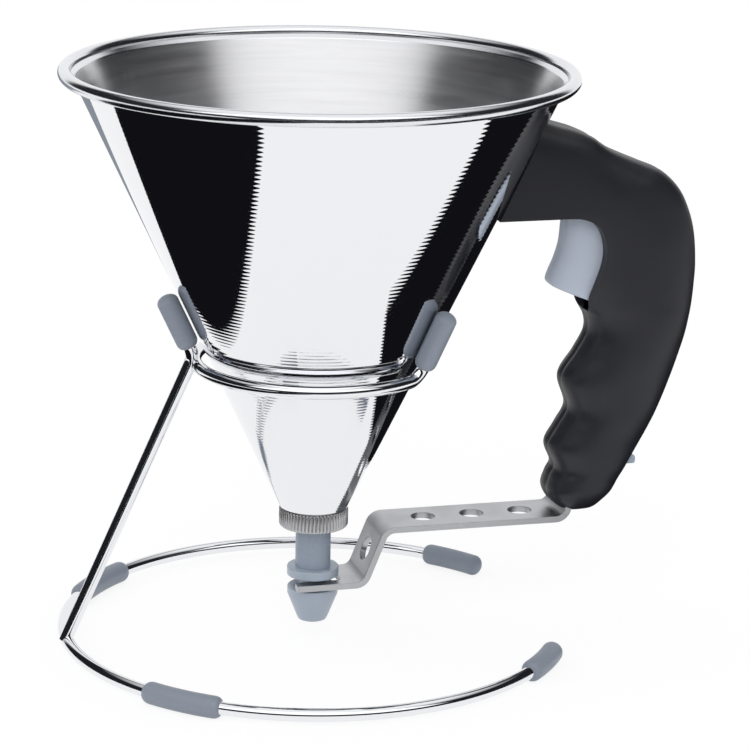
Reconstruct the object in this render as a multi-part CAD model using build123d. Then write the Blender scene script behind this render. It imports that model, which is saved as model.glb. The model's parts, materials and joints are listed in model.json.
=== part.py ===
from build123d import *

import os
from math import atan, cos, degrees, pi, radians, sin, sqrt, tan

# Batter dispenser: a steel funnel with a trigger handle, on a wire ring stand.
# Frame: millimetres, +Z up. The origin is on the worktop, on the funnel's axis, where the
# batter drops. +X points along the handle, and the whole object mirrors about the XZ plane.
# Heights are above the worktop.

# Funnel: a straight cone of 0.8 mm sheet with a flared lip and a rolled edge
SHEET = 0.8
CONE_BOTTOM_Z = 42.1
CONE_BOTTOM_RADIUS = 10.7
CONE_TOP_Z = 173.9
CONE_TOP_RADIUS = 72.6
LIP_BEND_RADIUS = 3.0
BEAD_CENTRE_RADIUS = 78.1
BEAD_CENTRE_Z = 177.9
BEAD_RADIUS = 1.9

CONE_SLOPE = (CONE_TOP_RADIUS - CONE_BOTTOM_RADIUS) / (CONE_TOP_Z - CONE_BOTTOM_Z)
CONE_TILT = atan(CONE_SLOPE)

# Outlet: threaded collar welded in the cone, plastic gland, gasket, seals and knurled nut
COLLAR_RADIUS = 9.95
COLLAR_BORE_RADIUS = 8.1
COLLAR_BOTTOM_Z = 39.3
COLLAR_TOP_Z = 43.6
NUT_BOTTOM_Z = 36.2
NUT_TOP_Z = 41.4
NUT_RADIUS = 12.6
NUT_RIDGE_DEPTH = 0.6
NUT_RIDGES = 60
NUT_LIP = 1.2
NUT_LIP_HOLE_RADIUS = 7.0
THREAD_CLEARANCE = 0.3
GLAND_RADIUS = 8.0
GLAND_FLANGE_RADIUS = 9.5
GLAND_BOTTOM_Z = 37.5
GLAND_FLANGE = 1.0
GLAND_TOP_Z = 46.6
GASKET = 0.8
SEAL_SECTION = 1.2
SEAL_HEIGHTS = (39.4, 45.3)

# Valve tube and nozzle spool, which rise together to open the ports
TUBE_RADIUS = 5.5
TUBE_BORE_RADIUS = 4.0
TUBE_TOP_Z = 49.2
TUBE_CROWN = 2.0
PORT_WIDTH = 3.0
PORT_BOTTOM_Z = 35.6
PORT_TOP_Z = 44.0
PORT_ANGLES = (-133, -13, 107)
SLIDE_CLEARANCE = 0.05
FLANGE_RADIUS = 8.05
FLANGE_TOP_Z = 22.2
FLANGE_BOTTOM_Z = 19.35
TUBE_SOCKET_DEPTH = 2.0
NECK_RADIUS = 4.2
TIP_RADIUS = 7.9
TIP_TOP_Z = 15.6
TIP_BAND = 2.2
TIP_BOTTOM_Z = 4.6
TIP_BOTTOM_RADIUS = 4.6
OUTLET_RADIUS = 2.7

# Arm: a bent strip with a forked end round the spool's neck
STRIP = 2.0
STRIP_WIDTH = 18.0
STRIP_BEND = 4.0
TONGUE_WIDTH = 12.0
TONGUE_START_Z = 40.6
TONGUE_TIP_Z = 62.0
FORK_TIP_X = -7.0
FORK_Z = 17.5
FORK_BEND_X = 14.4
UPPER_BEND_X = 21.3
UPPER_Z = 34.8
ENTRY_X = 79.8
ARM_LEAN = 12.0
FORK_SLOT = 10.2
FORK_APEX_X = 8.0
ARM_HOLE_RADIUS = 3.8
ARM_HOLES_X = (35.4, 51.3, 67.2)

# Lever inside the grip, its pivot and the trigger on its upper end
PIVOT_X = 88.5
PIVOT_Z = 45.0
PIN_RADIUS = 2.0
PIN_LENGTH = 21.4
HUB_WIDTH = 16.6
STEM_WIDTH = 10.0
HEAD_WIDTH = 12.6
HEAD_FRONT_X = 91.2
HEAD_REAR_X = 97.0
TRIGGER_WIDTH = 14.4
TRIGGER_TOP_Z = 129.0
TRIGGER_EDGE = 1.6
TRIGGER_SCREW_HEIGHTS = (107.2, 122.6)

# Arm catch, drawn back by its nail tab to free the strip
CATCH_Z = 51.5
CATCH_ROD_RADIUS = 1.6
CATCH_TIP_X = 82.3
CATCH_SHOULDER_X = 87.2
CATCH_TAB_X = 97.5
CATCH_END_X = 105.6
CATCH_TAB_WIDTH = 8.0
CATCH_TAB_HEIGHT = 2.6
CHAMBER_RADIUS = 3.1
CHAMBER_FRONT_X = 87.0
CHAMBER_REAR_X = 94.5

# Handle: two moulded shells, 24 mm thick together
HANDLE_WIDTH = 24.0
HANDLE_WALL = 2.6
HANDLE_EDGE = 3.6
SHELL_GAP = 0.03
CONE_GAP = 0.4
# Side outline: corner point and rounding radius, from the ledge clockwise to the underside
HANDLE_CORNERS = (
    (50.0, 168.0, 0),
    (86.2, 156.4, 2.0),
    (95.0, 149.8, 22),
    (109.4, 144.9, 18),
    (120.8, 130.2, 30),
    (122.4, 108.0, 70),
    (118.2, 87.5, 110),
    (109.0, 64.3, 100),
    (93.0, 37.6, 5),
    (85.4, 35.7, 14),
    (76.4, 37.1, 5),
    (75.0, 44.4, 6),
    (78.4, 50.2, 5.5),
    (74.2, 57.0, 5.5),
    (83.0, 69.4, 9),
    (77.6, 79.4, 7),
    (88.4, 92.7, 9),
    (84.9, 102.0, 12),
    (90.4, 120.6, 14),
    (86.6, 132.2, 6.5),
    (44.0, 132.2, 0),
)
TRIGGER_SLOT_WIDTH = 15.4
TRIGGER_SLOT_Z = (102.0, 131.0)
SCREW_PLACES = ((67.5, 146.5), (79.0, 148.5), (110.5, 131.0), (107.5, 92.0), (99.5, 63.0))
BRACKET_SCREWS = 2
BOSS_RADIUS = 3.3
SCREW_RADIUS = 1.4
SCREW_HEAD_RADIUS = 2.7
SCREW_HEAD = 1.8

# Bracket welded to the cone, inside the handle's end
PAD_SHEET = 1.5
PAD_WIDTH = 16.0
PAD_Z = (136.0, 158.0)
TONGUE_SHEET = 3.0

# Springs
SPRING_Z = 114.0
SPRING_RADIUS = 4.0
SPRING_WIRE = 0.9
SPRING_TURNS = 6
SPRING_END_X = 119.2
CATCH_SPRING_RADIUS = 2.7
CATCH_SPRING_WIRE = 0.5
CATCH_SPRING_TURNS = 5

# Stand: 4 mm wire with rubber sleeves
WIRE_RADIUS = 2.0
SLEEVE_RADIUS = 3.35
SLEEVE_BORE_GAP = 0.02
WIRE_Z = 3.2
BASE_RADIUS = 77.5
BASE_MOUTH = 34.0
CAP_TIP_ANGLE = 30.5
CAP_START_ANGLE = 46.5
FOOT_ANGLES = (123.0, 143.0)
CRADLE_RADIUS = 37.0
CRADLE_Z = 88.6
PRONG_ANGLE = 47.5
PRONG_GAP = 0.35
PRONG_TOP_Z = 109.0
PRONG_SLEEVE_Z = (92.6, 110.3)
REAR_SLEEVE_Z = (94.8, 111.0)
PRONG_BEND = 5.0
LEG_FOOT_X = -78.2
LEG_LEAN = 24.3
LEG_BEND = 6.5


def cone_radius(z, outward=0.0):
    """Radius of the cone's outside at height z, or of the surface that lies outward of it."""
    return CONE_BOTTOM_RADIUS + CONE_SLOPE * (z - CONE_BOTTOM_Z) + outward / cos(CONE_TILT)


def on_side(x, z):
    """Point of the mirror plane."""
    return Vector(x, 0, z)


def revolved(*points):
    """Ring or disc turned about the funnel's axis from (radius, height) points."""
    return revolve(make_face(Polyline(*[on_side(r, z) for r, z in points], close=True)), Axis.Z)


def side_plate(face, width):
    """Solid of the given width, centred on the mirror plane, from a face drawn on it."""
    return extrude(face, amount=width / 2, dir=(0, 1, 0), both=True)


def polygon(*points):
    """Face on the mirror plane with straight sides."""
    return make_face(Polyline(*[on_side(x, z) for x, z in points], close=True))


def rod(start, end, radius):
    """Round bar between two points."""
    start, end = Vector(*start), Vector(*end)
    section = Plane(origin=start, z_dir=end - start) * Circle(radius)
    return extrude(section, amount=(end - start).length)


def block(x, y, z):
    """Box between the given lowest and highest values along each axis."""
    size = (x[1] - x[0], y[1] - y[0], z[1] - z[0])
    centre = ((x[0] + x[1]) / 2, (y[0] + y[1]) / 2, (z[0] + z[1]) / 2)
    return Pos(*centre) * Box(*size)


def wire_along(path, radius):
    """Round wire that follows a path."""
    section = Plane(origin=path @ 0, z_dir=path % 0) * Circle(radius)
    return sweep(section, path=path)


def cone_solid(outward, bottom_z, top_z):
    """The space inside the surface that lies outward of the cone's outside."""
    return revolved(
        (0, bottom_z),
        (cone_radius(bottom_z, outward), bottom_z),
        (cone_radius(top_z, outward), top_z),
        (0, top_z),
    )


def coil(start, end, radius, wire, turns):
    """Compression spring between two points on a line along X."""
    length = end[0] - start[0] - 2 * wire
    path = Helix(pitch=length / turns, height=length, radius=radius - wire / 2)
    path = Pos(start[0] + wire, start[1], start[2]) * Rot(0, 90, 0) * path
    section = Plane(origin=path @ 0, z_dir=path % 0) * RegularPolygon(wire / 2, 6)
    return sweep(section, path=path, is_frenet=True)


# Funnel and outlet


def funnel_cone():
    """Cone wall, flared lip and the rolled bead round its edge, turned from one section."""
    wall_in = Vector(-cos(CONE_TILT), 0, sin(CONE_TILT)) * SHEET
    bottom = on_side(CONE_BOTTOM_RADIUS, CONE_BOTTOM_Z)
    lip = on_side(CONE_TOP_RADIUS, CONE_TOP_Z)
    bead = on_side(BEAD_CENTRE_RADIUS, BEAD_CENTRE_Z)
    along = (bead - lip).normalized()
    lip_in = Vector(-along.Z, 0, along.X) * SHEET
    outer_end = bead - along * BEAD_RADIUS
    inner_end = bead + lip_in - along * sqrt(BEAD_RADIUS**2 - SHEET**2)
    outside = FilletPolyline(bottom, lip, outer_end, radius=LIP_BEND_RADIUS)
    edge = ThreePointArc(outer_end, bead + along * BEAD_RADIUS, inner_end)
    inside = FilletPolyline(inner_end, lip + (wall_in + lip_in) / 2, bottom + wall_in, radius=LIP_BEND_RADIUS)
    end = Line(bottom + wall_in, bottom)
    section = make_face([*outside.edges(), edge.edge(), *inside.edges(), end.edge()])
    return revolve(section, Axis.Z)


def outlet_collar():
    """Short threaded sleeve that the nut screws on to."""
    return revolved(
        (COLLAR_BORE_RADIUS, COLLAR_BOTTOM_Z),
        (COLLAR_RADIUS - 0.4, COLLAR_BOTTOM_Z),
        (COLLAR_RADIUS, COLLAR_BOTTOM_Z + 0.4),
        (COLLAR_RADIUS, COLLAR_TOP_Z - 0.6),
        (COLLAR_RADIUS - 0.6, COLLAR_TOP_Z),
        (COLLAR_BORE_RADIUS, COLLAR_TOP_Z),
    )


def knurled_nut():
    """Ring nut with straight ridges outside and a lip that carries the gland."""
    ridge = []
    for step in range(2 * NUT_RIDGES):
        angle = pi * step / NUT_RIDGES
        radius = NUT_RADIUS - NUT_RIDGE_DEPTH * (step % 2)
        ridge.append((radius * cos(angle), radius * sin(angle), NUT_BOTTOM_Z))
    body = extrude(make_face(Polyline(*ridge, close=True)), amount=NUT_TOP_Z - NUT_BOTTOM_Z)
    bore = COLLAR_RADIUS + THREAD_CLEARANCE
    lip_top = NUT_BOTTOM_Z + NUT_LIP
    chamfered = revolved(
        (NUT_LIP_HOLE_RADIUS, NUT_BOTTOM_Z),
        (NUT_RADIUS - NUT_RIDGE_DEPTH, NUT_BOTTOM_Z),
        (NUT_RADIUS + 0.1, NUT_BOTTOM_Z + 0.6),
        (NUT_RADIUS + 0.1, NUT_TOP_Z - 0.5),
        (NUT_RADIUS - NUT_RIDGE_DEPTH, NUT_TOP_Z),
        (bore, NUT_TOP_Z),
        (bore, lip_top),
        (NUT_LIP_HOLE_RADIUS, lip_top),
    )
    return body & chamfered


def valve_gland():
    """Plastic bush that guides the valve tube, with a groove for each seal."""
    bore = TUBE_RADIUS + SLIDE_CLEARANCE
    flange_top = GLAND_BOTTOM_Z + GLAND_FLANGE
    gland = revolved(
        (bore, GLAND_BOTTOM_Z),
        (GLAND_FLANGE_RADIUS, GLAND_BOTTOM_Z),
        (GLAND_FLANGE_RADIUS, flange_top),
        (GLAND_RADIUS, flange_top),
        (GLAND_RADIUS, GLAND_TOP_Z - 1.2),
        (GLAND_RADIUS - 1.0, GLAND_TOP_Z),
        (bore, GLAND_TOP_Z),
    )
    for height in SEAL_HEIGHTS:
        low, high = height - SEAL_SECTION / 2 - 0.05, height + SEAL_SECTION / 2 + 0.05
        outer = TUBE_RADIUS + SEAL_SECTION + 0.1
        gland -= revolved((bore - 0.5, low), (outer, low), (outer, high), (bore - 0.5, high))
    return gland


def gland_gasket():
    """Flat washer between the gland's flange and the collar."""
    low = GLAND_BOTTOM_Z + GLAND_FLANGE
    return revolved(
        (GLAND_RADIUS + 0.1, low),
        (GLAND_FLANGE_RADIUS, low),
        (GLAND_FLANGE_RADIUS, low + GASKET),
        (GLAND_RADIUS + 0.1, low + GASKET),
    )


def gland_o_rings():
    """The two seals that the valve tube slides through."""
    middle = TUBE_RADIUS + SEAL_SECTION / 2 + 0.03
    rings = [Pos(0, 0, height) * Torus(middle, SEAL_SECTION / 2) for height in SEAL_HEIGHTS]
    return Compound(children=[ring.solid() for ring in rings])


def valve_tube():
    """Tube with a closed crown and three side ports."""
    base = FLANGE_TOP_Z - TUBE_SOCKET_DEPTH
    tube = revolved(
        (TUBE_BORE_RADIUS, base),
        (TUBE_RADIUS, base),
        (TUBE_RADIUS, TUBE_TOP_Z - 1.0),
        (TUBE_RADIUS - 1.0, TUBE_TOP_Z),
        (0, TUBE_TOP_Z),
        (0, TUBE_TOP_Z - TUBE_CROWN),
        (TUBE_BORE_RADIUS, TUBE_TOP_Z - TUBE_CROWN),
    )
    half = PORT_WIDTH / 2
    low, high = PORT_BOTTOM_Z + half, PORT_TOP_Z - half
    port = block((0, 2 * TUBE_RADIUS), (-half, half), (low, high))
    port += rod((0, 0, low), (2 * TUBE_RADIUS, 0, low), half)
    port += rod((0, 0, high), (2 * TUBE_RADIUS, 0, high), half)
    for angle in PORT_ANGLES:
        tube -= Rot(0, 0, angle) * port
    return tube


def nozzle_spool():
    """Flange, neck for the fork, and tapered tip with the outlet through it."""
    socket_z = FLANGE_TOP_Z - TUBE_SOCKET_DEPTH
    spool = revolved(
        (OUTLET_RADIUS, TIP_BOTTOM_Z),
        (TIP_BOTTOM_RADIUS - 0.9, TIP_BOTTOM_Z),
        (TIP_BOTTOM_RADIUS - 0.2, TIP_BOTTOM_Z + 0.3),
        (TIP_BOTTOM_RADIUS + 0.2, TIP_BOTTOM_Z + 1.0),
        (TIP_RADIUS, TIP_TOP_Z - TIP_BAND),
        (TIP_RADIUS, TIP_TOP_Z),
        (NECK_RADIUS, TIP_TOP_Z),
        (NECK_RADIUS, FLANGE_BOTTOM_Z),
        (FLANGE_RADIUS, FLANGE_BOTTOM_Z),
        (FLANGE_RADIUS, FLANGE_TOP_Z),
        (TUBE_RADIUS + 0.01, FLANGE_TOP_Z),
        (TUBE_RADIUS + 0.01, socket_z),
        (OUTLET_RADIUS + 0.6, socket_z),
        (OUTLET_RADIUS, socket_z - 1.2),
    )
    rims = [
        edge
        for edge in spool.edges().filter_by(GeomType.CIRCLE)
        if edge.radius > TIP_RADIUS - 0.01 and edge.center().Z > TIP_TOP_Z - 0.1
    ]
    return fillet(rims, radius=0.35)


# Arm, lever and trigger


def strip_line():
    """Centre line of the bent strip, from the fork's tips to the tongue's end."""
    lean = tan(radians(ARM_LEAN))
    corners = [
        (FORK_TIP_X, FORK_Z),
        (FORK_BEND_X, FORK_Z),
        (UPPER_BEND_X, UPPER_Z),
        (ENTRY_X, UPPER_Z),
        (ENTRY_X + lean * (TONGUE_TIP_Z - UPPER_Z), TONGUE_TIP_Z),
    ]
    return FilletPolyline(*[on_side(x, z) for x, z in corners], radius=STRIP_BEND)


def tongue_x(z):
    """Where the strip's centre line is at height z inside the grip."""
    return ENTRY_X + tan(radians(ARM_LEAN)) * (z - UPPER_Z)


def bent_strip(line, thickness, width):
    """Flat strip swept along a line of the mirror plane."""
    section = Plane(origin=line @ 0, x_dir=(0, 1, 0), z_dir=line % 0) * Rectangle(width, thickness)
    return sweep(section, path=line)


def arm_strip():
    """Forked strip with three holes along it and one in its slanted part."""
    strip = bent_strip(strip_line(), STRIP, STRIP_WIDTH)
    side = (STRIP_WIDTH - TONGUE_WIDTH) / 2
    for edge in (-1, 1):
        outer = edge * (STRIP_WIDTH / 2 + 1)
        inner = edge * (STRIP_WIDTH / 2 - side)
        y = (min(outer, inner), max(outer, inner))
        strip -= block((ENTRY_X - 8, ENTRY_X + 12), y, (TONGUE_START_Z, TONGUE_TIP_Z + 1))
    half = FORK_SLOT / 2
    slot = Polyline(
        (FORK_TIP_X - 1, -half, 0),
        (FORK_APEX_X - half, -half, 0),
        (FORK_APEX_X, 0, 0),
        (FORK_APEX_X - half, half, 0),
        (FORK_TIP_X - 1, half, 0),
        close=True,
    )
    strip -= Pos(0, 0, FORK_Z - 3) * extrude(make_face(slot), amount=6)
    for x in ARM_HOLES_X:
        strip -= rod((x, 0, UPPER_Z - 3), (x, 0, UPPER_Z + 3), ARM_HOLE_RADIUS)
    rise = Vector(UPPER_BEND_X - FORK_BEND_X, 0, UPPER_Z - FORK_Z).normalized()
    across = Vector(rise.Z, 0, -rise.X)
    middle = on_side((FORK_BEND_X + UPPER_BEND_X) / 2, (FORK_Z + UPPER_Z) / 2)
    strip -= rod(middle - across * 3, middle + across * 3, ARM_HOLE_RADIUS)
    x = tongue_x(CATCH_Z)
    strip -= rod((x - 4, 0, CATCH_Z), (x + 4, 0, CATCH_Z), CATCH_ROD_RADIUS + 0.25)
    corners = strip.edges().filter_by(Axis.Z).filter_by_position(Axis.X, FORK_TIP_X - 1, FORK_TIP_X + 1)
    return fillet(corners, radius=0.8)


def lever():
    """Plastic lever: hub round the pivot, socket for the strip, stem and head."""
    stem = polygon(
        (84.4, 60.0),
        (86.0, 70.0),
        (90.5, 94.0),
        (HEAD_FRONT_X, 104.0),
        (HEAD_REAR_X, 104.0),
        (HEAD_REAR_X, 94.0),
        (93.0, 70.0),
        (93.6, 58.0),
    )
    head = polygon((HEAD_FRONT_X, 103.6), (HEAD_FRONT_X, 127.6), (HEAD_REAR_X, 127.6), (HEAD_REAR_X, 103.6))
    hub = polygon(
        (79.3, 44.2),
        (82.9, 61.5),
        (84.4, 63.6),
        (93.0, 63.6),
        (96.0, 58.0),
        (94.4, 47.4),
        (91.2, 41.6),
        (88.5, 40.2),
        (84.6, 41.0),
        (81.2, 42.6),
    )
    body = side_plate(stem, STEM_WIDTH) + side_plate(head, HEAD_WIDTH) + side_plate(hub, HUB_WIDTH)
    body += rod((HEAD_REAR_X, 0, SPRING_Z), (HEAD_REAR_X + 4, 0, SPRING_Z), SPRING_RADIUS - 1.5)
    reach = HUB_WIDTH
    body -= rod((PIVOT_X, -reach, PIVOT_Z), (PIVOT_X, reach, PIVOT_Z), PIN_RADIUS + SLIDE_CLEARANCE)
    low, high = 38.0, TONGUE_TIP_Z + 0.3
    socket_line = Line(on_side(tongue_x(low), low), on_side(tongue_x(high), high))
    body -= bent_strip(socket_line, STRIP + 0.2, TONGUE_WIDTH + 0.3)
    bore = CATCH_ROD_RADIUS + 0.15
    body -= rod((78, 0, CATCH_Z), (99, 0, CATCH_Z), bore)
    body -= rod((CHAMBER_FRONT_X, 0, CATCH_Z), (CHAMBER_REAR_X, 0, CATCH_Z), CHAMBER_RADIUS)
    for height in TRIGGER_SCREW_HEIGHTS:
        body -= rod((HEAD_FRONT_X - 1, 0, height), (HEAD_REAR_X + 1, 0, height), SCREW_RADIUS + 0.05)
    return body


def trigger():
    """Finger piece, hollowed at the front for one finger."""
    front = Spline(
        on_side(78.0, TRIGGER_TOP_Z),
        on_side(77.7, 122.0),
        on_side(76.1, 116.8),
        on_side(73.6, 111.6),
        tangents=[(-0.05, 0, -1), (-0.35, 0, -1)],
    )
    nose = ThreePointArc(on_side(73.6, 111.6), on_side(73.5, 109.8), on_side(74.8, 108.5))
    rest = Polyline(
        on_side(74.8, 108.5),
        on_side(86.5, 104.2),
        on_side(HEAD_FRONT_X - 0.05, 103.8),
        on_side(HEAD_FRONT_X - 0.05, TRIGGER_TOP_Z - 0.6),
        on_side(78.0, TRIGGER_TOP_Z),
    )
    body = side_plate(make_face(front + nose + rest), TRIGGER_WIDTH)
    sides = [
        edge
        for edge in body.edges()
        if edge.center().X < 87 and abs(abs(edge.center().Y) - TRIGGER_WIDTH / 2) < 0.01
    ]
    body = fillet(sides, radius=TRIGGER_EDGE)
    for height in TRIGGER_SCREW_HEIGHTS:
        body -= rod((84, 0, height), (HEAD_FRONT_X, 0, height), SCREW_RADIUS + 0.02)
    return body


def trigger_screws():
    """Two screws that hold the trigger on the lever's head."""
    screws = []
    for height in TRIGGER_SCREW_HEIGHTS:
        shank = rod((85.0, 0, height), (HEAD_REAR_X, 0, height), SCREW_RADIUS)
        head = rod((HEAD_REAR_X, 0, height), (HEAD_REAR_X + 1.4, 0, height), 2.4)
        screws.append((shank + head).solid())
    return Compound(children=screws)


def pivot_pin():
    """Steel pin that the lever turns on."""
    half = PIN_LENGTH / 2
    pin = rod((PIVOT_X, -half, PIVOT_Z), (PIVOT_X, half, PIVOT_Z), PIN_RADIUS)
    return chamfer(pin.edges(), length=0.3)


def arm_catch():
    """Sliding catch: its rod holds the strip's tongue, and its tab stands out behind the grip."""
    body = rod((CATCH_TIP_X, 0, CATCH_Z), (CATCH_TAB_X, 0, CATCH_Z), CATCH_ROD_RADIUS)
    body += rod((CATCH_SHOULDER_X, 0, CATCH_Z), (CATCH_SHOULDER_X + 1, 0, CATCH_Z), CHAMBER_RADIUS - 0.3)
    tab = block(
        (CATCH_TAB_X - 0.5, CATCH_END_X),
        (-CATCH_TAB_WIDTH / 2, CATCH_TAB_WIDTH / 2),
        (CATCH_Z - CATCH_TAB_HEIGHT / 2, CATCH_Z + CATCH_TAB_HEIGHT / 2),
    )
    tab = fillet(tab.faces().sort_by(Axis.X)[-1].edges(), radius=1.0)
    return body + tab


# Handle


def handle_face():
    """Side outline of the handle: ledge, thumb hollow, back, bottom, grooves, trigger recess."""
    line = FilletPolyline(
        *[on_side(x, z) for x, z, radius in HANDLE_CORNERS],
        radius=[radius for x, z, radius in HANDLE_CORNERS[1:-1]],
    )
    return make_face([*line.edges(), Line(line @ 1, line @ 0).edge()])


def handle_body():
    """Both shells as one solid block, rounded and fitted to the cone."""
    body = side_plate(handle_face(), HANDLE_WIDTH)
    outline = [
        edge
        for edge in body.edges()
        if abs(abs(edge.center().Y) - HANDLE_WIDTH / 2) < 0.01 and edge.center().X > 52
    ]
    body = fillet(outline, radius=HANDLE_EDGE)
    return body - cone_solid(CONE_GAP, 120, 172)


def handle_cavity():
    """Hollow of the two shells, with the openings for trigger, strip and catch."""
    hollow = side_plate(offset(handle_face(), amount=-HANDLE_WALL), HANDLE_WIDTH - 2 * HANDLE_WALL)
    hollow -= cone_solid(CONE_GAP + HANDLE_WALL, 120, 172)
    slot = TRIGGER_SLOT_WIDTH / 2
    hollow += block((70, 95), (-slot, slot), TRIGGER_SLOT_Z)
    entry = STRIP_WIDTH / 2 + 0.6
    hollow += block((77.0, 84.0), (-entry, entry), (34.0, 42.0))
    tab = CATCH_TAB_WIDTH / 2 + 0.5
    hollow += block((94.0, 108.0), (-tab, tab), (48.6, 53.6))
    return hollow


def bracket_room():
    """Room in the handle's end for the bracket's pad and tongue."""
    pad = cone_solid(PAD_SHEET + 0.3, PAD_Z[0] - 0.4, PAD_Z[1] + 0.4)
    half = PAD_WIDTH / 2 + 0.3
    pad &= block((40, 80), (-half, half), (120, 170))
    half = TONGUE_SHEET / 2 + 0.05
    return pad + block((50, 84.6), (-half, half), (139.6, 155.4))


def handle_shell(side):
    """One moulded half: side is -1 for the right shell and 1 for the left one."""
    shell = handle_body() - handle_cavity()
    for x, z in SCREW_PLACES:
        shell += rod((x, -HANDLE_WIDTH / 2 + 1, z), (x, HANDLE_WIDTH / 2 - 1, z), BOSS_RADIUS)
    boss = HUB_WIDTH / 2 + 0.3
    wall = HANDLE_WIDTH / 2 - 1
    for sign in (-1, 1):
        shell += rod((PIVOT_X, sign * boss, PIVOT_Z), (PIVOT_X, sign * wall, PIVOT_Z), PIN_RADIUS + 2)
    shell += rod((SPRING_END_X - 3.6, 0, SPRING_Z), (SPRING_END_X + 1, 0, SPRING_Z), SPRING_RADIUS - 1.5)
    shell -= bracket_room()
    half = PIN_LENGTH / 2 + 0.1
    shell -= rod((PIVOT_X, -half, PIVOT_Z), (PIVOT_X, half, PIVOT_Z), PIN_RADIUS + 0.02)
    head_y = HANDLE_WIDTH / 2 - SCREW_HEAD - 0.2
    for x, z in SCREW_PLACES:
        shell -= rod((x, -9.5, z), (x, 20, z), SCREW_RADIUS + 0.02)
        shell -= rod((x, head_y, z), (x, 20, z), SCREW_HEAD_RADIUS + 0.2)
    low, high = sorted((side * SHELL_GAP, side * HANDLE_WIDTH))
    return shell & block((40, 130), (low, high), (30, 170))


def handle_screws():
    """Pan-head screws in the left shell's counterbores."""
    screws = []
    head_y = HANDLE_WIDTH / 2 - SCREW_HEAD - 0.2
    for x, z in SCREW_PLACES:
        shank = rod((x, -9.0, z), (x, head_y, z), SCREW_RADIUS)
        head = rod((x, head_y, z), (x, head_y + SCREW_HEAD, z), SCREW_HEAD_RADIUS)
        screws.append((shank + head).solid())
    return Compound(children=screws)


def handle_bracket():
    """Pad that follows the cone, with a flat tongue for two of the handle's screws."""
    pad = cone_solid(PAD_SHEET, *PAD_Z) - cone_solid(0.03, PAD_Z[0] - 1, PAD_Z[1] + 1)
    pad &= block((40, 80), (-PAD_WIDTH / 2, PAD_WIDTH / 2), (120, 170))
    tongue = polygon(
        (cone_radius(140.0, 0.8), 140.0),
        (80.0, 141.5),
        (84.0, 145.0),
        (84.0, 152.0),
        (81.0, 155.0),
        (cone_radius(155.0, 0.8), 155.0),
    )
    bracket = pad + side_plate(tongue, TONGUE_SHEET)
    for x, z in SCREW_PLACES[:BRACKET_SCREWS]:
        bracket -= rod((x, -3, z), (x, 3, z), SCREW_RADIUS + 0.1)
    return bracket


# Stand


def prong_radius(z):
    """Distance from the funnel's axis to a prong's centre line at height z."""
    return cone_radius(z, SLEEVE_RADIUS + PRONG_GAP)


def sleeve_along(path, rounding):
    """Rubber sleeve on a stretch of wire, with rounded ends."""
    body = wire_along(path, SLEEVE_RADIUS)
    ends = [edge for edge in body.edges() if edge.geom_type == GeomType.CIRCLE and edge.length < 25]
    ends = [edge for edge in ends if abs(edge.radius - SLEEVE_RADIUS) < 0.01]
    return fillet(ends, radius=rounding)


def base_arc(start, end):
    """Stretch of the base ring's centre line between two angles in degrees."""
    return Pos(0, 0, WIRE_Z) * CenterArc((0, 0, 0), BASE_RADIUS, start, end - start)


def base_ring():
    """C-shaped ring that stands on the worktop, open towards the handle."""
    return wire_along(base_arc(BASE_MOUTH, 360 - BASE_MOUTH), WIRE_RADIUS)


def foot_sleeve(side):
    """Rubber foot on the ring, with a narrow flat where it meets the worktop."""
    sleeve = sleeve_along(base_arc(*FOOT_ANGLES), 0.8)
    sleeve -= wire_along(base_arc(FOOT_ANGLES[0] - 2, FOOT_ANGLES[1] + 2), WIRE_RADIUS + SLEEVE_BORE_GAP)
    sleeve &= block((-100, 100), (-100, 100), (0, 20))
    return sleeve if side > 0 else mirror(sleeve, about=Plane.XZ)


def end_cap(side):
    """Rubber cap over the ring's end."""
    cap = sleeve_along(base_arc(CAP_TIP_ANGLE, CAP_START_ANGLE), 1.6)
    cap -= wire_along(base_arc(BASE_MOUTH - 0.02, CAP_START_ANGLE + 2), WIRE_RADIUS + SLEEVE_BORE_GAP)
    cap &= block((-100, 100), (-100, 100), (0, 20))
    return cap if side > 0 else mirror(cap, about=Plane.XZ)


def leg_path():
    """Leg and rear prong: up and inwards from the ring, then outwards along the cone."""
    lean = tan(radians(LEG_LEAN))
    rise = cone_radius(0, SLEEVE_RADIUS + PRONG_GAP)
    knee_z = (-LEG_FOOT_X + lean * WIRE_Z - rise) / (CONE_SLOPE + lean)
    return FilletPolyline(
        on_side(LEG_FOOT_X, WIRE_Z),
        on_side(-prong_radius(knee_z), knee_z),
        on_side(-prong_radius(PRONG_TOP_Z), PRONG_TOP_Z),
        radius=LEG_BEND,
    )


def leg():
    """Leg wire, coped to sit on the base ring."""
    ring = wire_along(base_arc(170, 190), WIRE_RADIUS)
    wire = wire_along(leg_path(), WIRE_RADIUS) - ring
    return wire.solids().sort_by(SortBy.VOLUME)[-1] - wire_along(cradle_arc(170, 190), WIRE_RADIUS)


def cradle_arc(start, end):
    """Stretch of the cradle's centre line between two angles in degrees."""
    return Pos(0, 0, CRADLE_Z) * CenterArc((0, 0, 0), CRADLE_RADIUS, start, end - start)


def prong_line(low, high):
    """Straight centre line of the prong that stands in the plane of the leg's angle."""
    return Line(on_side(prong_radius(low), low), on_side(prong_radius(high), high))


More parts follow.
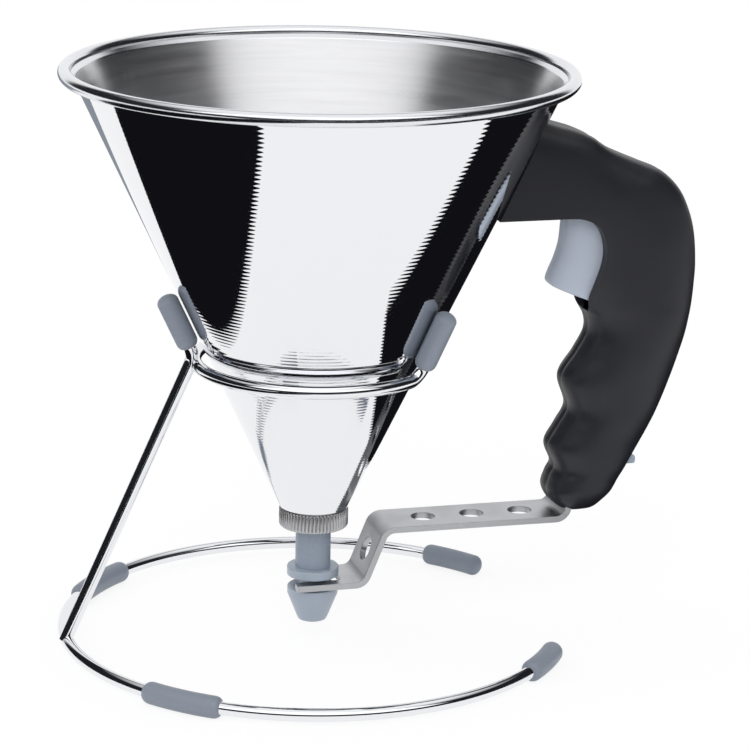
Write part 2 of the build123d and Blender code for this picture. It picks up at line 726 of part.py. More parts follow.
def cradle():
    """Wire fork round the cone: an open ring whose two ends turn up as prongs."""
    bend = degrees(PRONG_BEND / CRADLE_RADIUS)
    ring = wire_along(cradle_arc(PRONG_ANGLE + bend, 360 - PRONG_ANGLE - bend), WIRE_RADIUS)
    for sign in (-1, 1):
        turn = Rot(0, 0, sign * PRONG_ANGLE)
        foot = turn * prong_line(PRONG_SLEEVE_Z[0], PRONG_TOP_Z)
        arc_end = cradle_arc(sign * (PRONG_ANGLE + bend), sign * (PRONG_ANGLE + bend) - sign) @ 0
        along = Vector(0, 0, 1).cross(Vector(arc_end.X, arc_end.Y, 0).normalized()) * -sign
        curve = Spline(arc_end, foot @ 0, tangents=[along, foot % 0])
        ring += wire_along(curve, WIRE_RADIUS)
        ring += wire_along(foot, WIRE_RADIUS)
    return ring


def prong_sleeve(angle, low, high):
    """Rubber sleeve on a prong, closed over its top."""
    sleeve = sleeve_along(prong_line(low, high), 1.9)
    sleeve -= wire_along(prong_line(low - 2, PRONG_TOP_Z + 0.02), WIRE_RADIUS + SLEEVE_BORE_GAP)
    return Rot(0, 0, angle) * sleeve


def return_spring():
    """Spring that presses the lever's head forwards."""
    return coil(
        (HEAD_REAR_X, 0, SPRING_Z), (SPRING_END_X, 0, SPRING_Z), SPRING_RADIUS, SPRING_WIRE, SPRING_TURNS
    )


def catch_spring():
    """Spring that presses the catch into the strip's tongue."""
    return coil(
        (CATCH_SHOULDER_X + 1, 0, CATCH_Z),
        (CHAMBER_REAR_X, 0, CATCH_Z),
        CATCH_SPRING_RADIUS,
        CATCH_SPRING_WIRE,
        CATCH_SPRING_TURNS,
    )


NODES = {
    "funnel_cone": funnel_cone,
    "outlet_collar": outlet_collar,
    "knurled_nut": knurled_nut,
    "valve_gland": valve_gland,
    "gland_gasket": gland_gasket,
    "gland_o_rings": gland_o_rings,
    "valve_tube": valve_tube,
    "nozzle_spool": nozzle_spool,
    "arm_strip": arm_strip,
    "lever": lever,
    "trigger": trigger,
    "trigger_screws": trigger_screws,
    "pivot_pin": pivot_pin,
    "arm_catch": arm_catch,
    "catch_spring": catch_spring,
    "return_spring": return_spring,
    "handle_shell_right": lambda: handle_shell(-1),
    "handle_shell_left": lambda: handle_shell(1),
    "handle_screws": handle_screws,
    "handle_bracket": handle_bracket,
    "base_ring": base_ring,
    "leg": leg,
    "cradle": cradle,
    "foot_sleeve_left": lambda: foot_sleeve(1),
    "foot_sleeve_right": lambda: foot_sleeve(-1),
    "end_cap_left": lambda: end_cap(1),
    "end_cap_right": lambda: end_cap(-1),
    "prong_sleeve_rear": lambda: prong_sleeve(180, *REAR_SLEEVE_Z),
    "prong_sleeve_left": lambda: prong_sleeve(PRONG_ANGLE, *PRONG_SLEEVE_Z),
    "prong_sleeve_right": lambda: prong_sleeve(-PRONG_ANGLE, *PRONG_SLEEVE_Z),
}

os.makedirs("parts", exist_ok=True)
for name, make in NODES.items():
    export_step(make(), f"parts/{name}.step")
    print("wrote", name)
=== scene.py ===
# %% [markdown]
# # Batter dispenser on a wire stand
# A steel funnel with a trigger handle rests in a stand of bent wire. Squeezing the trigger raises a small
# nozzle under the cone, by way of a bent steel strip, and batter runs out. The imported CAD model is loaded
# as a fixed frame: its objects say where each piece is and which body carries it, and none of them is
# moved. The surfaces that show are made here, from arrays worked out with numpy, and the finishes from
# shader nodes. Lengths are in millimetres unless a comment says otherwise, and MM turns them into Blender's
# metres.

import bmesh
import bpy
import json
import math
import numpy as np
from mathutils import Matrix, Vector


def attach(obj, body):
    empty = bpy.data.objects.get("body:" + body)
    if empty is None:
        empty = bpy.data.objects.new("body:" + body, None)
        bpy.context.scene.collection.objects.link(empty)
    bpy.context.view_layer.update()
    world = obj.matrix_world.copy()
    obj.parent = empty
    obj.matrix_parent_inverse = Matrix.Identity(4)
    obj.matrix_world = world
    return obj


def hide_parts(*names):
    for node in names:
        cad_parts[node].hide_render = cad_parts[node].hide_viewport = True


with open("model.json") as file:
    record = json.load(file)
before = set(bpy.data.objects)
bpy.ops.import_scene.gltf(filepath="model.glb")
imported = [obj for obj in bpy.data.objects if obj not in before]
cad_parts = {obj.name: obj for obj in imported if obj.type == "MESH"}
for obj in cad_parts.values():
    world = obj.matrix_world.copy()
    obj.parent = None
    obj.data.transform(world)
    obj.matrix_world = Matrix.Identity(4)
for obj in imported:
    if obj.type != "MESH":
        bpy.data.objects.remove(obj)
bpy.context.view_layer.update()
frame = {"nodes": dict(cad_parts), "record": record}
NODES = frame["nodes"]
MM = 0.001

# %% [markdown]
# ## Camera
# A long lens keeps the funnel's mouth a flat ellipse. The camera stands a little above the lip, turned so
# that the handle points to the right and slightly towards the eye. It could be aimed by three Euler angles.
# Its matrix is written from three unit vectors instead, because each of them can be read: right, up and
# back.

# %% Camera
# angles in radians, lens and sensor in millimetres, the two limits of sight in metres
CAMERA_PLACE = Vector((-222.3, -869.7, 335.3)) * MM
CAMERA_TURN = math.radians(15.5)
CAMERA_PITCH = 0.2729
CAMERA_ROLL = 0.0206
CAMERA_LENS = 145.83
SENSOR_WIDTH = 36.0
NEAREST = 0.05
FARTHEST = 20.0


def camera_axes(turn, pitch, roll):
    """Right, up and back unit vectors of a camera that looks along +Y, turned towards +X and tipped down."""
    forward = Vector((math.sin(turn) * math.cos(pitch), math.cos(turn) * math.cos(pitch), -math.sin(pitch)))
    level = Vector((math.cos(turn), -math.sin(turn), 0.0))
    upright = level.cross(forward)
    right = level * math.cos(roll) + upright * math.sin(roll)
    up = upright * math.cos(roll) - level * math.sin(roll)
    return right, up, -forward


def add_camera():
    """Camera whose matrix columns are its right, up and back vectors."""
    axes = camera_axes(CAMERA_TURN, CAMERA_PITCH, CAMERA_ROLL)
    data = bpy.data.cameras.new("view_camera")
    data.lens = CAMERA_LENS
    data.sensor_width = SENSOR_WIDTH
    data.clip_start = NEAREST
    data.clip_end = FARTHEST
    camera = bpy.data.objects.new("view_camera", data)
    camera.matrix_world = Matrix.Translation(CAMERA_PLACE) @ Matrix(axes).transposed().to_4x4()
    bpy.context.scene.collection.objects.link(camera)
    bpy.context.scene.camera = camera
    return camera


print("camera", add_camera().name)

# %% [markdown]
# ## Node helpers
# A material is a small graph. Written out, each node takes four or five lines. These helpers add a node and
# join its sockets in one line, so that each finish below reads as a recipe.

# %% Node helpers


def add_node(tree, kind, inputs=None, **settings):
    """New node of a kind, with its settings made and its inputs set to values or joined to sockets."""
    node = tree.nodes.new(kind)
    for name, value in settings.items():
        setattr(node, name, value)
    for name, value in (inputs or {}).items():
        if isinstance(value, bpy.types.NodeSocket):
            tree.links.new(value, node.inputs[name])
        else:
            node.inputs[name].default_value = value
    return node


def maths(tree, operation, first, second=0.0, third=0.0):
    """Output of a Math node on up to three numbers or sockets."""
    return add_node(tree, "ShaderNodeMath", {0: first, 1: second, 2: third}, operation=operation).outputs[0]


def spread(tree, value, low, high, out_low, out_high):
    """Output of a Map Range node: low to high becomes out_low to out_high, and stays between them."""
    inputs = {"Value": value, "From Min": low, "From Max": high, "To Min": out_low, "To Max": out_high}
    return add_node(tree, "ShaderNodeMapRange", inputs).outputs[0]


def blend_colours(tree, factor, first, second):
    """Colour between two colours."""
    return add_node(tree, "ShaderNodeMix", {0: factor, 6: first, 7: second}, data_type="RGBA").outputs[2]


print("node helpers ready")

# %% [markdown]
# ## Node groups
# Rings, grain and smudges appear in several finishes. Copying their nodes into each material would work,
# but then every change has to be made many times over. A node group is built once, has named sockets, and
# is placed in each material with that material's own values.

# %% Group helpers


def new_group(name, inputs, outputs):
    """Empty group with float or vector sockets; returns its tree and its two end nodes."""
    tree = bpy.data.node_groups.new(name, "ShaderNodeTree")
    for socket, kind, value in inputs:
        made = tree.interface.new_socket(socket, in_out="INPUT", socket_type="NodeSocket" + kind)
        if value is not None:
            made.default_value = value
    for socket, kind in outputs:
        tree.interface.new_socket(socket, in_out="OUTPUT", socket_type="NodeSocket" + kind)
    return tree, tree.nodes.new("NodeGroupInput"), tree.nodes.new("NodeGroupOutput")


def use_group(tree, group, inputs=None):
    """Node that places a group in a material."""
    return add_node(tree, "ShaderNodeGroup", inputs, node_tree=group)


print("group helpers ready")

# %% [markdown]
# ## Turning rings
# The cone is spun over a former and polished on a lathe, which leaves shallow rings round it. They lie
# about 1.5 mm apart at the lip and 0.9 mm apart at the foot. A mirror finish hides them until a dark edge
# is reflected: then the edge turns into a comb. As geometry they would take millions of faces, so they are
# a height for a bump. The pitch grows evenly with height, so the number of rings up to a height is a
# logarithm, and a sine of that number is the height of the surface.

# %% Turning rings
RING_PITCH_LOW = 0.85 * MM
RING_PITCH_HIGH = 1.5 * MM
RING_FOOT_Z = 42.0 * MM
RING_TOP_Z = 174.0 * MM
RING_WANDER = 60.0


def turning_rings():
    """Height of the rings: the sine of 2 pi times ln(1 + growth x (z - foot) / pitch) / growth."""
    tree, source, result = new_group(
        "turning_rings", [("Place", "Vector", None), ("Unevenness", "Float", 0.3)], [("Height", "Float")]
    )
    growth = (RING_PITCH_HIGH - RING_PITCH_LOW) / (RING_TOP_Z - RING_FOOT_Z)
    parts = add_node(tree, "ShaderNodeSeparateXYZ", {0: source.outputs["Place"]})
    rise = maths(tree, "SUBTRACT", parts.outputs["Z"], RING_FOOT_Z)
    grown = maths(tree, "MULTIPLY_ADD", rise, growth / RING_PITCH_LOW, 1.0)
    turns = maths(tree, "DIVIDE", maths(tree, "LOGARITHM", grown, math.e), growth)
    wander_inputs = {"Vector": source.outputs["Place"], "Scale": RING_WANDER, "Detail": 2.0}
    wander = add_node(tree, "ShaderNodeTexNoise", wander_inputs)
    moved = maths(tree, "MULTIPLY_ADD", wander.outputs["Fac"], source.outputs["Unevenness"], turns)
    wave = maths(tree, "SINE", maths(tree, "MULTIPLY", moved, 2 * math.pi))
    tree.links.new(wave, result.inputs["Height"])
    return tree


RINGS = turning_rings()
print("group", RINGS.name)

# %% [markdown]
# ## Brushing
# The inside of the cone is brushed round and round. Brush lines could be painted on an image, but an image
# shows its pixels close up. A noise that is stretched along the piece's own map gives lines of any
# fineness.

# %% Brushing


def brushed_lines():
    """Noise that is stretched along U of the piece's own map, as fine lines; V runs across the brush."""
    tree, source, result = new_group(
        "brushed_lines",
        [("Map", "Vector", None), ("Along", "Float", 6.0), ("Across", "Float", 900.0)],
        [("Lines", "Float")],
    )
    parts = add_node(tree, "ShaderNodeSeparateXYZ", {0: source.outputs["Map"]})
    along = maths(tree, "MULTIPLY", parts.outputs["X"], source.outputs["Along"])
    across = maths(tree, "MULTIPLY", parts.outputs["Y"], source.outputs["Across"])
    place = add_node(tree, "ShaderNodeCombineXYZ", {"X": along, "Y": across})
    noise = add_node(tree, "ShaderNodeTexNoise", {"Vector": place.outputs[0], "Scale": 1.0, "Detail": 3.0})
    tree.links.new(noise.outputs["Fac"], result.inputs["Lines"])
    return tree


BRUSHED = brushed_lines()
print("group", BRUSHED.name)

# %% [markdown]
# ## Grain and handling marks
# Moulded plastic, rubber and blasted steel have a fine even grain. Every surface that hands touch has faint
# smudges, which change its gloss more than its colour. Both are noise in the piece's own coordinates: the
# grain is fine, and the smudges are coarse and cut, so that only their peaks show.

# %% Grain and handling marks
SMUDGE_FROM = 0.48
SMUDGE_FULL = 0.75


def fine_grain():
    """Even grain of a moulded or cast surface."""
    tree, source, result = new_group(
        "fine_grain", [("Place", "Vector", None), ("Scale", "Float", 4000.0)], [("Grain", "Float")]
    )
    inputs = {"Vector": source.outputs["Place"], "Scale": source.outputs["Scale"]}
    noise = add_node(tree, "ShaderNodeTexNoise", {**inputs, "Detail": 2.0, "Roughness": 0.6})
    tree.links.new(noise.outputs["Fac"], result.inputs["Grain"])
    return tree


def handling_marks():
    """Soft smudges: low noise, cut so that only its peaks show."""
    tree, source, result = new_group(
        "handling_marks", [("Place", "Vector", None), ("Scale", "Float", 45.0)], [("Smudge", "Float")]
    )
    inputs = {"Vector": source.outputs["Place"], "Scale": source.outputs["Scale"]}
    noise = add_node(tree, "ShaderNodeTexNoise", {**inputs, "Detail": 4.0, "Distortion": 0.6})
    smudge = spread(tree, noise.outputs["Fac"], SMUDGE_FROM, SMUDGE_FULL, 0.0, 1.0)
    tree.links.new(smudge, result.inputs["Smudge"])
    return tree


GRAIN = fine_grain()
MARKS = handling_marks()
print("groups", GRAIN.name, MARKS.name)

# %% [markdown]
# ## Finishes
# Each finish starts from the same blank: a Principled shader whose uniform values sit on its own sockets,
# where other programs can read them too. What changes over the surface comes from the groups, in the
# piece's own coordinates, so that the pattern stays put when the piece moves.

# %% Blank material


def blank(name, colour, metallic, roughness, **sockets):
    """Material with a Principled shader; returns the material, its tree, its shader and its coordinates."""
    material = bpy.data.materials.new(name)
    material.use_nodes = True
    tree = material.node_tree
    shader = tree.nodes["Principled BSDF"]
    shader.inputs["Base Color"].default_value = (*colour, 1.0)
    shader.inputs["Metallic"].default_value = metallic
    shader.inputs["Roughness"].default_value = roughness
    for socket, value in sockets.items():
        shader.inputs[socket.replace("_", " ")].default_value = value
    place = tree.nodes.new("ShaderNodeTexCoord")
    return material, tree, shader, place


def vary(tree, socket, value, low, high):
    """Joins a 0 to 1 value to a number socket of the shader, spread between low and high."""
    tree.links.new(spread(tree, value, 0.0, 1.0, low, high), socket)


def bump(tree, shader, height, depth, strength=1.0):
    """Bump of a given depth in metres on the shader's normal."""
    node = add_node(tree, "ShaderNodeBump", {"Height": height, "Distance": depth, "Strength": strength})
    tree.links.new(node.outputs["Normal"], shader.inputs["Normal"])


print("blank ready")

# %% [markdown]
# ## The cone's two finishes
# Outside, the cone is a mirror, and almost all that one sees in it is the studio. The rings and a few
# smudges are the only trace of the metal itself. Inside, it is brushed round the axis. Brushing spreads a
# reflection across its lines, which an ordinary roughness can't do, so the shader is anisotropic and takes
# its direction from the piece's own map.

# %% Cone finishes
STEEL = (0.85, 0.855, 0.875)


def polished_cone():
    """Outside of the cone: mirror polish over the turning rings."""
    material, tree, shader, place = blank("cone_polish", STEEL, 1.0, 0.035)
    rings = use_group(tree, RINGS, {"Place": place.outputs["Object"]})
    marks = use_group(tree, MARKS, {"Place": place.outputs["Object"], "Scale": 30.0})
    bump(tree, shader, rings.outputs["Height"], 0.004 * MM)
    vary(tree, shader.inputs["Roughness"], marks.outputs["Smudge"], 0.03, 0.06)
    return material


def brushed_cone():
    """Inside of the cone: brushed round the axis, so that light gathers in streaks down the wall."""
    material, tree, shader, place = blank(
        "cone_brushed", (0.62, 0.62, 0.63), 1.0, 0.3, Anisotropic=0.85, Anisotropic_Rotation=0.25
    )
    lines = use_group(tree, BRUSHED, {"Map": place.outputs["UV"], "Along": 12.0, "Across": 230.0})
    bump(tree, shader, lines.outputs["Lines"], 0.012 * MM, 0.6)
    vary(tree, shader.inputs["Roughness"], lines.outputs["Lines"], 0.24, 0.36)
    colour = blend_colours(tree, lines.outputs["Lines"], (0.60, 0.605, 0.615, 1.0), (0.96, 0.96, 0.97, 1.0))
    tree.links.new(colour, shader.inputs["Base Color"])
    tangent = add_node(tree, "ShaderNodeTangent", direction_type="UV_MAP")
    tree.links.new(tangent.outputs[0], shader.inputs["Tangent"])
    return material


FINISHES = {"polished_steel": polished_cone(), "brushed_steel": brushed_cone()}
print("cone finishes", *FINISHES)

# %% [markdown]
# ## Wire, strip and turned steel
# The stand is drawn wire with a polish. The strip is blasted with fine beads, so it is grey and satin. The
# nut, the bead of the lip, the screws and the springs are worked by a tool that leaves rings or drawing
# marks: one function serves them all, with its own colour and roughness for each.

# %% Other steel finishes


def polished_wire():
    """Drawn and polished wire, with slight smudges."""
    material, tree, shader, place = blank("wire_polish", (0.84, 0.85, 0.87), 1.0, 0.05)
    marks = use_group(tree, MARKS, {"Place": place.outputs["Object"], "Scale": 70.0})
    vary(tree, shader.inputs["Roughness"], marks.outputs["Smudge"], 0.02, 0.05)
    grain = use_group(tree, GRAIN, {"Place": place.outputs["Object"], "Scale": 900.0})
    bump(tree, shader, grain.outputs["Grain"], 0.002 * MM)
    return material


def satin_sheet():
    """Bead-blasted strip steel with a light grain."""
    material, tree, shader, place = blank("strip_satin", (0.74, 0.74, 0.75), 1.0, 0.36)
    grain = use_group(tree, GRAIN, {"Place": place.outputs["Object"], "Scale": 2500.0})
    marks = use_group(tree, MARKS, {"Place": place.outputs["Object"], "Scale": 80.0})
    bump(tree, shader, grain.outputs["Grain"], 0.01 * MM)
    vary(tree, shader.inputs["Roughness"], marks.outputs["Smudge"], 0.32, 0.42)
    colour = blend_colours(tree, grain.outputs["Grain"], (0.46, 0.465, 0.48, 1.0), (0.54, 0.545, 0.56, 1.0))
    tree.links.new(colour, shader.inputs["Base Color"])
    return material


def turned_steel(name, colour, low, high):
    """Machined steel: rings of a turning tool, and a roughness that varies between low and high."""
    material, tree, shader, place = blank(name, colour, 1.0, low)
    rings = use_group(tree, RINGS, {"Place": place.outputs["Object"], "Unevenness": 1.5})
    grain = use_group(tree, GRAIN, {"Place": place.outputs["Object"], "Scale": 1500.0})
    bump(tree, shader, rings.outputs["Height"], 0.002 * MM)
    vary(tree, shader.inputs["Roughness"], grain.outputs["Grain"], low, high)
    return material


FINISHES["polished_wire"] = polished_wire()
FINISHES["satin_steel"] = satin_sheet()
FINISHES["bead_steel"] = turned_steel("bead_polish", (0.80, 0.81, 0.83), 0.13, 0.20)
FINISHES["nut_steel"] = turned_steel("nut_turned", (0.52, 0.52, 0.53), 0.22, 0.36)
FINISHES["spring_steel"] = turned_steel("spring_drawn", (0.55, 0.55, 0.56), 0.2, 0.35)
print("finishes so far", len(FINISHES))

# %% [markdown]
# ## Plastic and rubber
# The grip is nearly black plastic with a soft gloss. The sleeves are blue-grey rubber, duller and more
# grained. The trigger and the nozzle are paler plastic. They differ only in colour, gloss and grain, so
# that one function with a table of values is enough.

# %% Plastic and rubber finishes


def moulded(name, colour, lighter, low, high, scale=3000.0, depth=0.006):
    """Moulded plastic or rubber: fine grain, faint mottling and smudged gloss."""
    material, tree, shader, place = blank(name, colour, 0.0, low)
    grain = use_group(tree, GRAIN, {"Place": place.outputs["Object"], "Scale": scale})
    marks = use_group(tree, MARKS, {"Place": place.outputs["Object"], "Scale": 60.0})
    bump(tree, shader, grain.outputs["Grain"], depth * MM)
    vary(tree, shader.inputs["Roughness"], marks.outputs["Smudge"], low, high)
    mixed = blend_colours(tree, grain.outputs["Grain"], (*colour, 1.0), (*lighter, 1.0))
    tree.links.new(mixed, shader.inputs["Base Color"])
    return material


# finish, material, colour, mottled colour, least and most roughness, and sometimes grain scale and depth
MOULDED = (
    ("sleeve_rubber", "sleeve_rubber", (0.235, 0.27, 0.325), (0.285, 0.32, 0.38), 0.42, 0.55, 1800.0, 0.01),
    ("dark_plastic", "grip_plastic", (0.0125, 0.0132, 0.0185), (0.0165, 0.0172, 0.0235), 0.40, 0.50),
    ("trigger_plastic", "trigger_plastic", (0.52, 0.58, 0.68), (0.55, 0.61, 0.71), 0.34, 0.45),
    ("nozzle_plastic", "nozzle_plastic", (0.37, 0.43, 0.51), (0.41, 0.47, 0.55), 0.28, 0.4),
    # the tube is the nozzle's plastic painted darker: painted shade, where the cone keeps the light off it
    ("tube_plastic", "tube_plastic", (0.275, 0.325, 0.40), (0.30, 0.35, 0.425), 0.26, 0.36),
    ("gland_plastic", "gland_plastic", (0.30, 0.32, 0.35), (0.34, 0.36, 0.39), 0.35, 0.5),
    ("seal_rubber", "seal_rubber", (0.02, 0.02, 0.02), (0.03, 0.03, 0.03), 0.5, 0.6),
)
for finish, *values in MOULDED:
    FINISHES[finish] = moulded(*values)
print("finishes", len(FINISHES))

# %% [markdown]
# ## From arrays to meshes
# Most pieces here are a grid of points bent into shape, so the same few helpers serve them all. The points
# could be joined face by face in a loop, which is slow in Python. Index arithmetic on whole arrays gives
# all the quads at once. Each corner also gets a map: U along the columns and V along the rows, both from 0
# to 1. Rows that close on themselves share their first column.

# %% Grid to faces


def grid_faces(rows, columns, closed):
    """Quads of a grid: each joins a point, its right neighbour and the two above them."""
    across = columns if closed else columns - 1
    row, column = np.meshgrid(np.arange(rows - 1), np.arange(across), indexing="ij")
    beside = (column + 1) % columns
    low, high = row * columns, (row + 1) * columns
    return np.stack((low + column, low + beside, high + beside, high + column), axis=-1).reshape(-1, 4)


def grid_map(rows, columns, closed):
    """Map corner values for grid_faces, so that a closed grid's last column reaches 1."""
    across = columns if closed else columns - 1
    row, column = np.meshgrid(np.arange(rows - 1), np.arange(across), indexing="ij")
    u = np.stack((column, column + 1, column + 1, column), axis=-1) / across
    v = np.stack((row, row, row + 1, row + 1), axis=-1) / (rows - 1)
    return np.stack((u, v), axis=-1).reshape(-1, 2)


print("a closed grid of 3 x 4 points has", len(grid_faces(3, 4, True)), "faces")

# %% [markdown]
# ## Clean meshes
# Where a surface ends in a point, a whole row of the grid falls together, and its faces have no area.
# Welding joins those points and drops the faces. A closed shell also needs its faces to look outwards, and
# real corners have to be marked, because smooth shading would smear the light across them.

# %% Mesh helpers
WELD_DISTANCE = 2e-6
NO_LENGTH = 1e-7


def weld_mesh(mesh):
    """Joins points that coincide and drops the faces that vanish."""
    work = bmesh.new()
    work.from_mesh(mesh)
    bmesh.ops.remove_doubles(work, verts=work.verts, dist=WELD_DISTANCE)
    bmesh.ops.dissolve_degenerate(work, edges=work.edges, dist=NO_LENGTH)
    work.to_mesh(mesh)
    work.free()


def face_outwards(mesh):
    """Turns the faces of a closed, welded shell outwards."""
    work = bmesh.new()
    work.from_mesh(mesh)
    bmesh.ops.recalc_face_normals(work, faces=work.faces)
    work.to_mesh(mesh)
    work.free()


def shade_smooth(mesh):
    """Smooth shading on every face."""
    mesh.polygons.foreach_set("use_smooth", np.ones(len(mesh.polygons), dtype=bool))


def keep_corners(mesh, degrees):
    """Breaks the smooth shading at edges whose faces meet at more than the given angle."""
    mesh.set_sharp_from_angle(angle=math.radians(degrees))


print("mesh helpers ready")

# %% [markdown]
# ## Making and seating a piece
# A grid becomes an object at the origin, with its place in its mesh. It then gets its finish, the body that
# carries it when a joint moves, and the nodes of the CAD model that it stands for, which hide themselves.

# %% Piece helpers


def grid_piece(name, points, closed=True, flip=False):
    """Smooth, welded object from an array of rows x columns x 3 in millimetres."""
    rows, columns = points.shape[:2]
    faces = grid_faces(rows, columns, closed)
    corners = grid_map(rows, columns, closed)
    if flip:
        faces = faces[:, ::-1]
        corners = corners.reshape(-1, 4, 2)[:, ::-1].reshape(-1, 2)
    mesh = bpy.data.meshes.new(name)
    mesh.from_pydata((points.reshape(-1, 3) * MM).tolist(), [], faces.tolist())
    layer = mesh.uv_layers.new(name="surface")
    layer.data.foreach_set("uv", corners.ravel())
    shade_smooth(mesh)
    weld_mesh(mesh)
    piece = bpy.data.objects.new(name, mesh)
    bpy.context.scene.collection.objects.link(piece)
    return piece


def seat_piece(piece, finish, body, nodes):
    """Gives a piece its finish and body, and lets it stand for its nodes."""
    piece.data.materials.append(FINISHES[finish])
    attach(piece, body)
    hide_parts(*nodes)
    print(piece.name, "has", len(piece.data.polygons), "faces and stands for", ", ".join(nodes))
    return piece


print("piece helpers ready")

# %% [markdown]
# ## Lines with rounded corners
# Sheet and wire are both bent round a radius and stay straight between the bends. A drawn curve could be
# shaped to look like that. Here the line is given by its corners and radii, as on a workshop drawing, and
# each corner becomes an arc that is tangent to both of its runs.

# %% Section helpers


def unit(vector):
    """The vector at length 1."""
    return vector / np.linalg.norm(vector)


def rounded_line(points, radii, steps=10):
    """Line through points whose inner corners are arcs: each arc is tangent to both of its runs."""
    points = [np.asarray(point, dtype=float) for point in points]
    line = [points[0][None]]
    for before, corner, after, radius in zip(points, points[1:], points[2:], radii):
        back, ahead = unit(before - corner), unit(after - corner)
        half = math.acos(np.clip(back @ ahead, -1.0, 1.0)) / 2
        centre = corner + unit(back + ahead) * radius / math.sin(half)
        first = corner + back * radius / math.tan(half) - centre
        last = corner + ahead * radius / math.tan(half) - centre
        swing = math.acos(np.clip(unit(first) @ unit(last), -1.0, 1.0))
        turn = np.linspace(0.0, 1.0, steps + 1)[:, None]
        swung = np.sin((1 - turn) * swing) * first + np.sin(turn * swing) * last
        line.append(centre + swung / math.sin(swing))
    line.append(points[-1][None])
    return np.concatenate(line)


def arc_through(centre, radius, start, end, steps):
    """Points of an arc about a centre between two angles."""
    angle = np.linspace(start, end, steps)
    return centre + radius * np.stack((np.cos(angle), np.sin(angle)), axis=-1)


print("a rounded corner has", len(rounded_line(((0, 0), (1, 0), (1, 1)), (0.2,))), "points")

# %% [markdown]
# ## Funnel section
# The funnel is spun from one disc of sheet steel, and its lip is rolled outwards into a bead. It is one
# section turned about the axis: outside wall, a short outward turn, bead, and inside wall. A thickness
# added later by a modifier would swell where the bead closes. Here both walls come from the same line, a
# sheet's thickness apart, and short steps are spent only where the section bends.

# %% Funnel section
SHEET = 0.8
CONE_FOOT = np.array((10.7, 42.1))
CONE_SLOPE = 0.46965
CONE_TILT = math.atan(CONE_SLOPE)
LIP_Z = 175.6
CONE_LIP = CONE_FOOT + (LIP_Z - CONE_FOOT[1]) * np.array((CONE_SLOPE, 1.0))
LIP_BEND = 1.2
BEAD = np.array((76.1, 177.5))
BEAD_RADIUS = 2.0
BEAD_STEPS = 33


def funnel_section():
    """Outside points, bead points and inside points of the section, in that order.

    The bead is a circle that is open where the sheet enters it. Its opening angle is the arc sine of the
    sheet's thickness over the bead's radius.
    """
    wall_in = np.array((-math.cos(CONE_TILT), math.sin(CONE_TILT))) * SHEET
    along = unit(BEAD - CONE_LIP)
    lip_in = np.array((-along[1], along[0])) * SHEET
    heading = math.atan2(along[1], along[0])
    opening = math.asin(SHEET / BEAD_RADIUS)
    outside = rounded_line((CONE_FOOT, CONE_LIP, BEAD - along * BEAD_RADIUS), (LIP_BEND,))
    bead = arc_through(BEAD, BEAD_RADIUS, heading - math.pi, heading + math.pi - opening, BEAD_STEPS)[1:-1]
    inner_end = BEAD + lip_in - along * math.sqrt(BEAD_RADIUS**2 - SHEET**2)
    inner_lip = CONE_LIP + (wall_in + lip_in) / 2
    inside = rounded_line((inner_end, inner_lip, CONE_FOOT + wall_in), (LIP_BEND,))
    return outside, bead, inside


print("section has", [len(part) for part in funnel_section()], "points")

# %% [markdown]
# ## Turning the funnel
# Each point of the section is carried round the axis in 384 steps, enough for a mirror to show no facets.
# Three finishes share the one mesh: the bead is the part above the lip, and the middle line of the sheet
# parts the polished outside from the brushed inside.

# %% Funnel
AROUND = 384
LONGEST_STEP = 6.0
ABOVE_LIP = 0.1
OUTSIDE, INSIDE, ON_BEAD = 0, 1, 2


def turned_grid(section, around=AROUND):
    """Section of (radius, height) points turned about Z: each row is one point carried round the circle."""
    angle = np.arange(around) * 2 * math.pi / around
    radius, height = section[:, 0][:, None], section[:, 1][:, None]
    return np.stack((radius * np.cos(angle), radius * np.sin(angle), height + 0 * angle), axis=-1)


def divided(section, longest):
    """The section with its long runs cut into equal steps no longer than the given one."""
    parts = [section[:1]]
    for start, end in zip(section, section[1:]):
        count = max(1, math.ceil(np.linalg.norm(end - start) / longest))
        parts.append(start + (end - start) * np.linspace(0, 1, count + 1)[1:, None])
    return np.concatenate(parts)


def funnel():
    """Funnel with its outside and bead polished and its inside wall brushed."""
    section = divided(np.concatenate((*funnel_section(), CONE_FOOT[None])), LONGEST_STEP)
    piece = grid_piece("funnel_body", turned_grid(section))
    seat_piece(piece, "polished_steel", "funnel", ("funnel_cone",))
    mesh = piece.data
    mesh.materials.append(FINISHES["brushed_steel"])
    mesh.materials.append(FINISHES["bead_steel"])
    centres = np.empty(len(mesh.polygons) * 3)
    mesh.polygons.foreach_get("center", centres)
    radius, height = np.hypot(centres[0::3], centres[1::3]) / MM, centres[2::3] / MM
    middle = CONE_FOOT[0] + CONE_SLOPE * (height - CONE_FOOT[1]) - SHEET / 2 / math.cos(CONE_TILT)
    kind = np.where(height > LIP_Z + ABOVE_LIP, ON_BEAD, np.where(radius < middle, INSIDE, OUTSIDE))
    mesh.polygons.foreach_set("material_index", kind.astype(np.int32))
    keep_corners(mesh, 50)


funnel()

# %% [markdown]
# ## Bent wire
# The stand is three lengths of round wire. A curve object with a bevel would draw them too, but it twists
# where the line turns in space. Here a circle is carried along the centre line: at each point it stands on
# two axes square to the line, found from one reference direction that never runs along it. A list of radii,
# one for each point, lets the same function draw a rubber sleeve with rounded ends.

# %% Swept wire
WIRE_RADIUS = 2.0
# a closed end is a circle of this radius, set a nudge past the end of the line
CLOSED_RADIUS = 0.001
NUDGE = 1e-3


